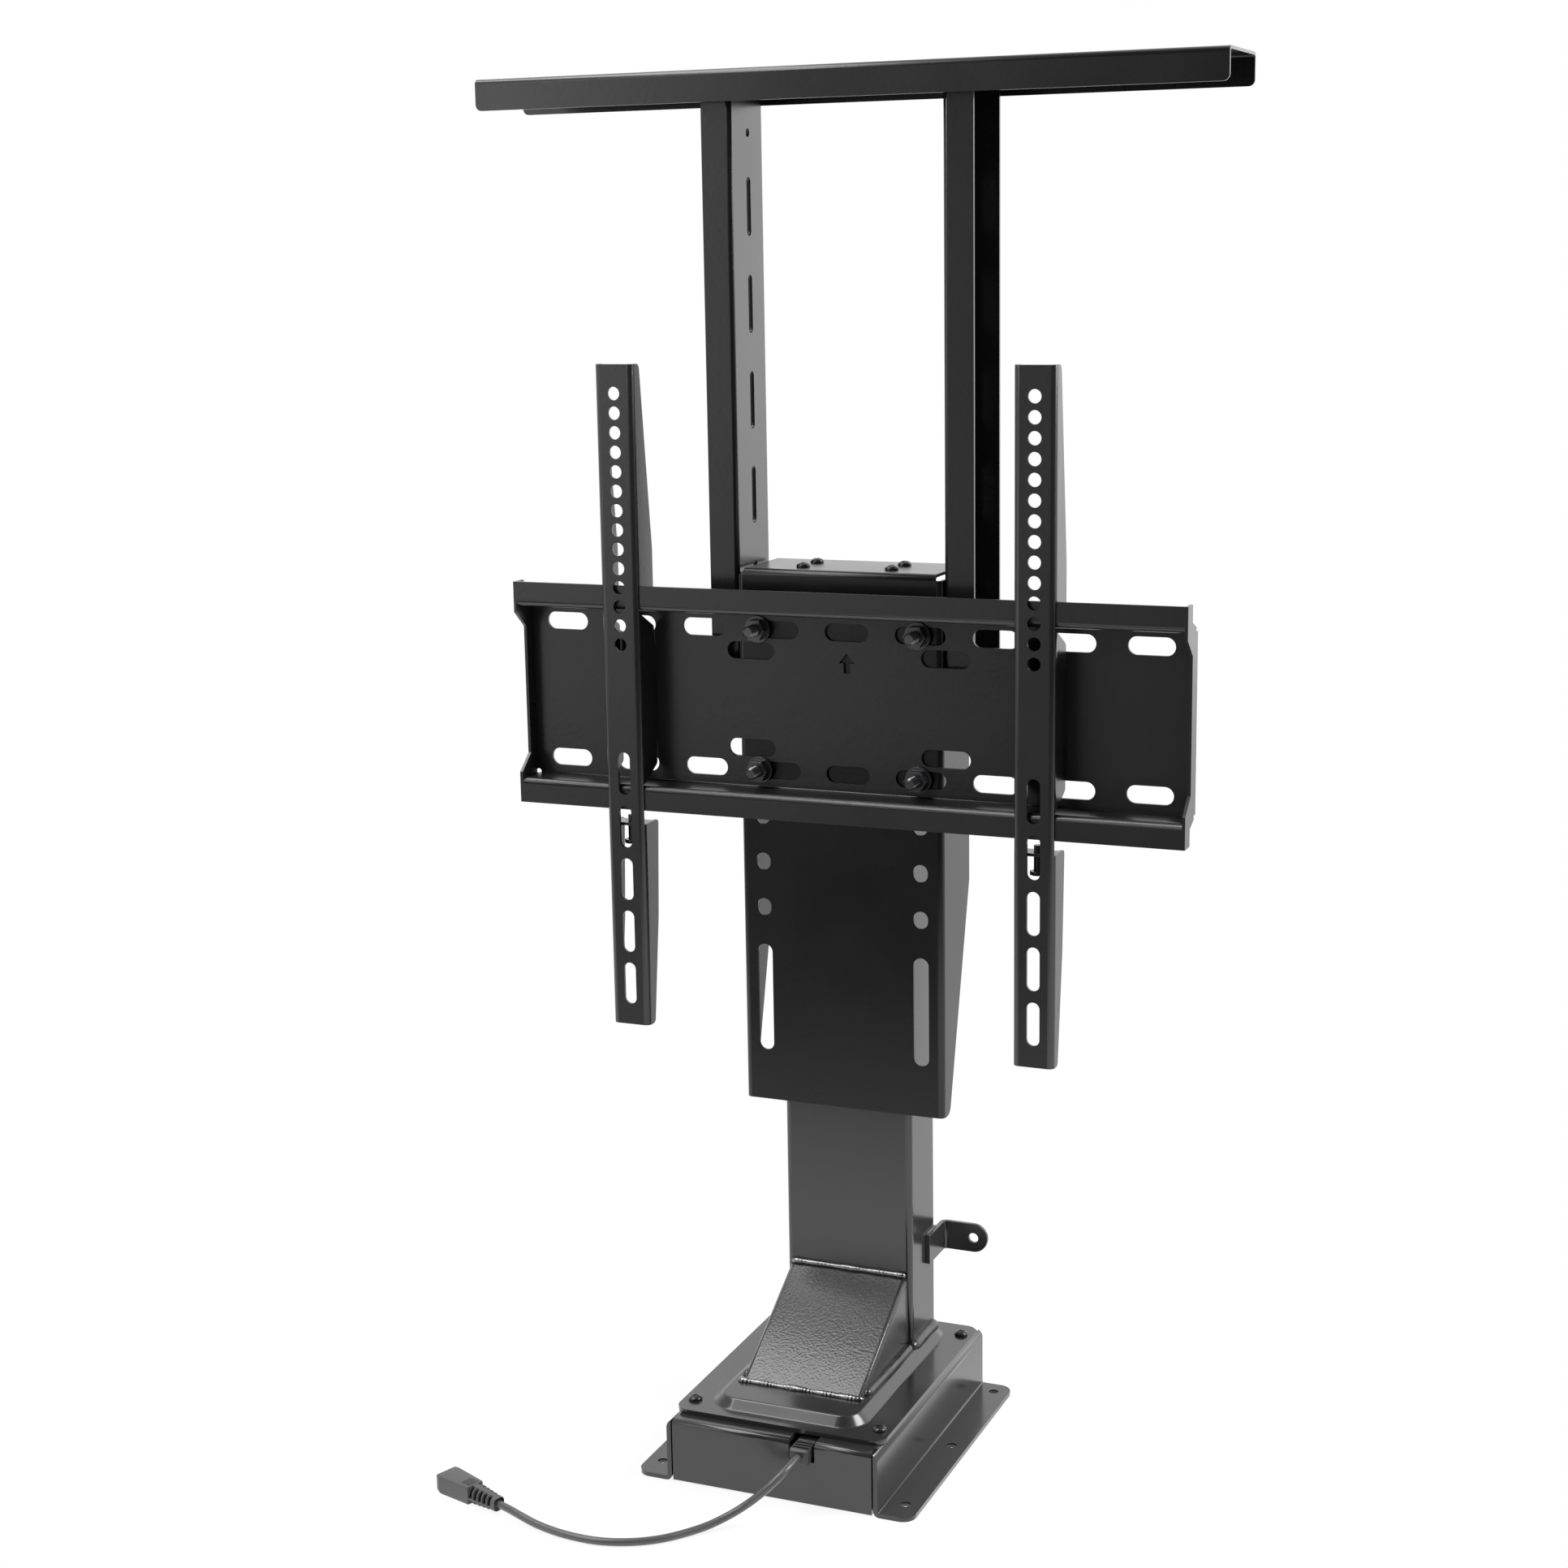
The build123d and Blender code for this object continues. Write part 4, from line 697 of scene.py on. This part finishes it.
def sink_cross(shape, rim):
    """Cuts a cross into a head's crown, deepest at its middle."""
    arm, half = CROSS_LENGTH / 2, CROSS_WIDTH / 2
    for axis in ((1, 0, 0), (0, 1, 0)):
        for reach in (-arm, -half, half, arm):
            bmesh.ops.bisect_plane(
                shape, geom=shape.verts[:] + shape.edges[:] + shape.faces[:], dist=1e-7,
                plane_co=[reach * part for part in axis], plane_no=axis)
    cross = []
    for face in shape.faces:
        spot = face.calc_center_median()
        near, far = sorted((abs(spot.x), abs(spot.y)))
        if near < half and far < arm and spot.z > rim:
            cross.append(face)
    sunk = bmesh.ops.extrude_face_region(shape, geom=cross)["geom"]
    bmesh.ops.delete(shape, geom=cross, context="FACES")
    for vert in [item for item in sunk if isinstance(item, bmesh.types.BMVert)]:
        away = math.hypot(vert.co.x, vert.co.y) / arm
        vert.co.z -= CROSS_DEPTH * max(CROSS_TIP_SHARE, 1.0 - CROSS_SLOPE_SHARE * away)


def pan_head():
    """A domed head on its seat, with a cross sunk into its crown."""
    rim = SCREW_RISE * SCREW_RIM_SHARE
    profile = [(SCREW_HEAD / 2, 0.0), (SCREW_HEAD / 2, rim)]
    for step in range(1, SCREW_DOME_STEPS):
        bow = math.radians(90 * step / SCREW_DOME_STEPS)
        profile.append((SCREW_HEAD / 2 * math.cos(bow), rim + (SCREW_RISE - rim) * math.sin(bow)))
    profile.append((0.0, SCREW_RISE))
    shape = turned(profile, SCREW_SIDES)
    sink_cross(shape, rim)
    return shape


def place_screws(name, node, body, turn):
    """Heads at the four corners of a screw node's box, each turned its own way."""
    low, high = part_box(node)
    inset = SCREW_HEAD / 2
    heads = bmesh.new()
    places = [(x, y) for x in (low.x + inset, high.x - inset)
              for y in (low.y + inset, high.y - inset)]
    for index, (x, y) in enumerate(places):
        head = pan_head()
        bmesh.ops.rotate(head, verts=head.verts, cent=(0, 0, 0), matrix=Matrix.Rotation(
            math.radians(turn * index + SCREW_FIRST_TURN), 3, "Z"))
        bmesh.ops.translate(head, verts=head.verts, vec=(x, y, high.z - SCREW_RISE))
        merge(heads, head)
    place_piece(name, mesh_of(name, heads, bend=40.0), screw_black, body, [node])


place_screws("plate_screw_heads", "plate_screws", "base", turn=37)
place_screws("roof_screw_heads", "roof_screws", "lift", turn=23)


# Bolts and flange nuts. Four black-plated bolts pass the carriage and the wall plate from
# behind, and their threaded ends stand out of the flange nuts.
BOLT_RADIUS = 0.0040
BOLT_TIP_SHARE = 0.7
BOLT_LEAD_IN = 0.0006
BOLT_HEAD = 0.0150
BOLT_HEAD_RISE = 0.0036
BOLT_DOME_STEPS = 6
BOLT_SIDES = 28
THREAD_PITCH = 0.00125
THREAD_DEPTH = 0.00045
THREAD_SHARES = ((0.0, 1.0), (0.38, 0.0), (0.5, 0.0), (0.88, 1.0))
NUT_COLOUR = (0.085, 0.085, 0.090)
NUT_EDGE = 0.0005
SMALL_SCREW_EDGE = 0.0003


def threaded_bolt(reach):
    """A bolt along Z from its tip to its domed head, with its thread as rings."""
    profile = [(0.0, 0.0), (BOLT_RADIUS * BOLT_TIP_SHARE, 0.0)]
    for turn in range(int(reach / THREAD_PITCH) - 1):
        for share, dip in THREAD_SHARES:
            profile.append((BOLT_RADIUS - THREAD_DEPTH * dip,
                            BOLT_LEAD_IN + THREAD_PITCH * (turn + share)))
    profile += [(BOLT_RADIUS, reach), (BOLT_HEAD / 2, reach)]
    for step in range(1, BOLT_DOME_STEPS + 1):
        bow = math.radians(90 * step / BOLT_DOME_STEPS)
        profile.append((BOLT_HEAD / 2 * math.cos(bow), reach + BOLT_HEAD_RISE * math.sin(bow)))
    shape = turned(profile, BOLT_SIDES)
    bmesh.ops.rotate(shape, verts=shape.verts, cent=(0, 0, 0),
                     matrix=Matrix.Rotation(math.radians(-90), 3, "X"))
    return shape


bolt_low, bolt_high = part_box("plate_bolts")
bolt_shapes = bmesh.new()
for x in (bolt_low.x + BOLT_HEAD / 2, bolt_high.x - BOLT_HEAD / 2):
    for z in (bolt_low.z + BOLT_HEAD / 2, bolt_high.z - BOLT_HEAD / 2):
        bolt = threaded_bolt(bolt_high.y - BOLT_HEAD_RISE - bolt_low.y)
        bmesh.ops.translate(bolt, verts=bolt.verts, vec=(x, bolt_low.y, z))
        merge(bolt_shapes, bolt)
nut_black = finish("black_plated_nut", NUT_COLOUR, roughness=0.24, metallic=0.85,
                   grain=2400.0, shade=0.3, rough_spread=0.16)
place_piece("threaded_bolts", mesh_of("threaded_bolts", bolt_shapes, bend=35.0), nut_black,
            "lift", ["plate_bolts"])
dress(["plate_nuts", "side_nuts"], nut_black, NUT_EDGE)
dress(["side_bolts", "left_lock_screw", "right_lock_screw", "cover_screws"], screw_black,
      SMALL_SCREW_EDGE)


# Plastic guides. The column's collar and the motor's cap are black nylon, and the glides
# on the inner tube's foot and the board's spacers are cream acetal, injection moulded.
ACETAL_COLOUR = (0.62, 0.59, 0.50)
MOULDED_EDGE = 0.0004
acetal = finish("cream_acetal", ACETAL_COLOUR, roughness=0.38, shade=0.05, grain=1200.0)
dress(["column_guide", "motor_end_cap"], black_nylon, MOULDED_EDGE)
dress(["tube_glides", "board_spacers"], acetal, MOULDED_EDGE)


# Drive inside the column and the box. Turned steel for the spindle, the worm, the bearing
# and the posts, cast alloy for the gearbox, and bronze for the nut and the worm wheel.
STEEL_COLOUR = (0.56, 0.56, 0.57)
ALLOY_COLOUR = (0.48, 0.48, 0.49)
BRONZE_COLOUR = (0.62, 0.41, 0.19)
TURNED_EDGE = 0.0003
CAST_EDGE = 0.0005
turned_steel = finish("turned_steel", STEEL_COLOUR, roughness=0.30, metallic=1.0, cloud=60.0,
                      grain=2600.0, shade=0.10, rough_spread=0.14)
cast_alloy = finish("cast_alloy", ALLOY_COLOUR, roughness=0.55, metallic=1.0, grain=1100.0,
                    bump=0.5, depth=0.0002)
bronze = finish("bearing_bronze", BRONZE_COLOUR, roughness=0.34, metallic=1.0, grain=1800.0)
dress(["thrust_bearing", "cover_posts", "gearbox_posts", "drive_motor", "spindle_stop", "worm"],
      turned_steel, TURNED_EDGE)
dress(["lead_screw"], turned_steel)
dress(["gearbox_case", "gearbox_cover"], cast_alloy, CAST_EDGE)
dress(["drive_nut", "worm_wheel"], bronze)


# Control board. A green glass-fibre board on spacers over the bottom cover, with its
# moulded relay, capacitor and sockets soldered on.
BOARD_COLOUR = (0.02, 0.14, 0.05)
COMPONENT_COLOUR = (0.05, 0.05, 0.055)
BOARD_EDGE = 0.0001
COMPONENT_EDGE = 0.0003
solder_mask = finish("solder_mask", BOARD_COLOUR, roughness=0.30, cloud=220.0, grain=1500.0,
                     shade=0.3, bump=0.05)
component_black = finish("component_plastic", COMPONENT_COLOUR, roughness=0.50, shade=0.2)
dress(["control_board"], solder_mask, BOARD_EDGE)
dress(["board_components"], component_black, COMPONENT_EDGE)


# Studio floor. Pale paper that renders white further out and keeps the lift's soft shadow
# near it. Reflections see it as a bright sheet, in ranges of place and of strength.
FLOOR_HALF = 8.0
PAPER_COLOUR = (0.92, 0.92, 0.92)
PAPER_ROUGHNESS = 0.9
PAPER_SPECULAR = 0.1
FLOOR_FADE = (0.16, 0.42, 0.86, 1.0)
NEAR_GLOW = (-0.95, -0.30, 0.06, 1.75)
REAR_DIMMING = (-0.10, 0.20, 1.0, 0.66)
FAR_GLOW = (-1.3, -1.9, 0.0, 1.0)
LEFT_GLOW = (-0.62, -1.10, 0.05, 0.95)

paper, tree, shader = new_material("studio_paper", PAPER_SPECULAR)
shader.inputs["Base Color"].default_value = scaled(PAPER_COLOUR, 1.0)
shader.inputs["Roughness"].default_value = PAPER_ROUGHNESS
place = add_node(tree, "ShaderNodeTexCoord").outputs["Object"]
split = add_node(tree, "ShaderNodeSeparateXYZ", {"Vector": place})
across, back = split.outputs["X"], split.outputs["Y"]
path = add_node(tree, "ShaderNodeLightPath")
camera_ray = path.outputs["Is Camera Ray"]
away = add_node(tree, "ShaderNodeVectorMath", {0: place}, operation="LENGTH").outputs["Value"]
whitened = maths(tree, "MULTIPLY", camera_ray, ramp(tree, away, *FLOOR_FADE))
shown = maths(tree, "MAXIMUM", path.outputs["Is Glossy Ray"], whitened)
near_glow = maths(tree, "MULTIPLY", ramp(tree, back, *NEAR_GLOW), ramp(tree, back, *REAR_DIMMING))
far_glow = maths(tree, "MULTIPLY", ramp(tree, back, *FAR_GLOW), ramp(tree, across, *LEFT_GLOW))
strength = add_node(tree, "ShaderNodeMix", {
    "Factor": camera_ray, "A": maths(tree, "MAXIMUM", near_glow, far_glow), "B": 1.0},
    data_type="FLOAT")
glow = add_node(tree, "ShaderNodeEmission", {"Strength": strength.outputs["Result"]})
blend = add_node(tree, "ShaderNodeMixShader", {
    "Fac": shown, 1: shader.outputs["BSDF"], 2: glow.outputs["Emission"]})
tree.links.new(blend.outputs["Shader"], tree.nodes["Material Output"].inputs["Surface"])

floor_shape = bmesh.new()
bmesh.ops.create_grid(floor_shape, x_segments=1, y_segments=1, size=FLOOR_HALF)
floor_mesh = bpy.data.meshes.new("floor")
floor_shape.to_mesh(floor_mesh)
floor_shape.free()
floor_mesh.materials.append(paper)
floor = add_object("floor", floor_mesh)


# Studio room. White to the camera, an even dim light on the object, and for reflections
# a room that is bright behind the lift and on its left flank, and dark in front.
ROOM_BACK = (-0.35, 0.30, 0.05, 1.4)
ROOM_FLANK = (-0.26, -0.50, 0.08, 1.0)
ROOM_FILL = 0.40

world = bpy.data.worlds.new("studio")
bpy.context.scene.world = world
world.use_nodes = True
tree = world.node_tree
backdrop = tree.nodes["Background"]
backdrop.inputs["Color"].default_value = (1.0, 1.0, 1.0, 1.0)
path = add_node(tree, "ShaderNodeLightPath")
facing = add_node(tree, "ShaderNodeSeparateXYZ", {
    "Vector": add_node(tree, "ShaderNodeTexCoord").outputs["Generated"]})
around = maths(tree, "MAXIMUM", ramp(tree, facing.outputs["Y"], *ROOM_BACK),
               ramp(tree, facing.outputs["X"], *ROOM_FLANK))
even = add_node(tree, "ShaderNodeMix", {
    "Factor": path.outputs["Is Diffuse Ray"], "A": around, "B": ROOM_FILL}, data_type="FLOAT")
seen = add_node(tree, "ShaderNodeMix", {
    "Factor": path.outputs["Is Camera Ray"], "A": even.outputs["Result"], "B": 1.0},
    data_type="FLOAT")
tree.links.new(seen.outputs["Result"], backdrop.inputs["Strength"])


# Lamps. Five square soft panels stand round the lift, out of the picture. Each has its
# place, the point that it faces, its side in metres and its power in watts.
LAMPS = {
    "left_panel": ((-2.0, -2.4, 0.9), (0.0, 0.0, 0.6), 1.2, 7.0),
    "right_panel": ((1.3, 2.6, 0.9), (0.0, 0.0, 0.4), 2.0, 9.0),
    "top_panel": ((-0.8, -0.33, 2.0), (0.0, 0.0, 0.1), 1.0, 24.0),
    "front_panel": ((-0.8, -1.5, 1.9), (0.0, 0.0, 0.3), 0.6, 12.0),
    "side_panel": ((1.5, 0.5, 1.6), (0.0, 0.0, 0.2), 0.9, 42.0),
}
for name, (spot, target, size, power) in LAMPS.items():
    light = bpy.data.lights.new(name, "AREA")
    light.shape = "SQUARE"
    light.size = size
    light.energy = power
    lamp = add_object(name, light)
    lamp.location = spot
    lamp.rotation_euler = (Vector(target) - Vector(spot)).to_track_quat("-Z", "Y").to_euler()
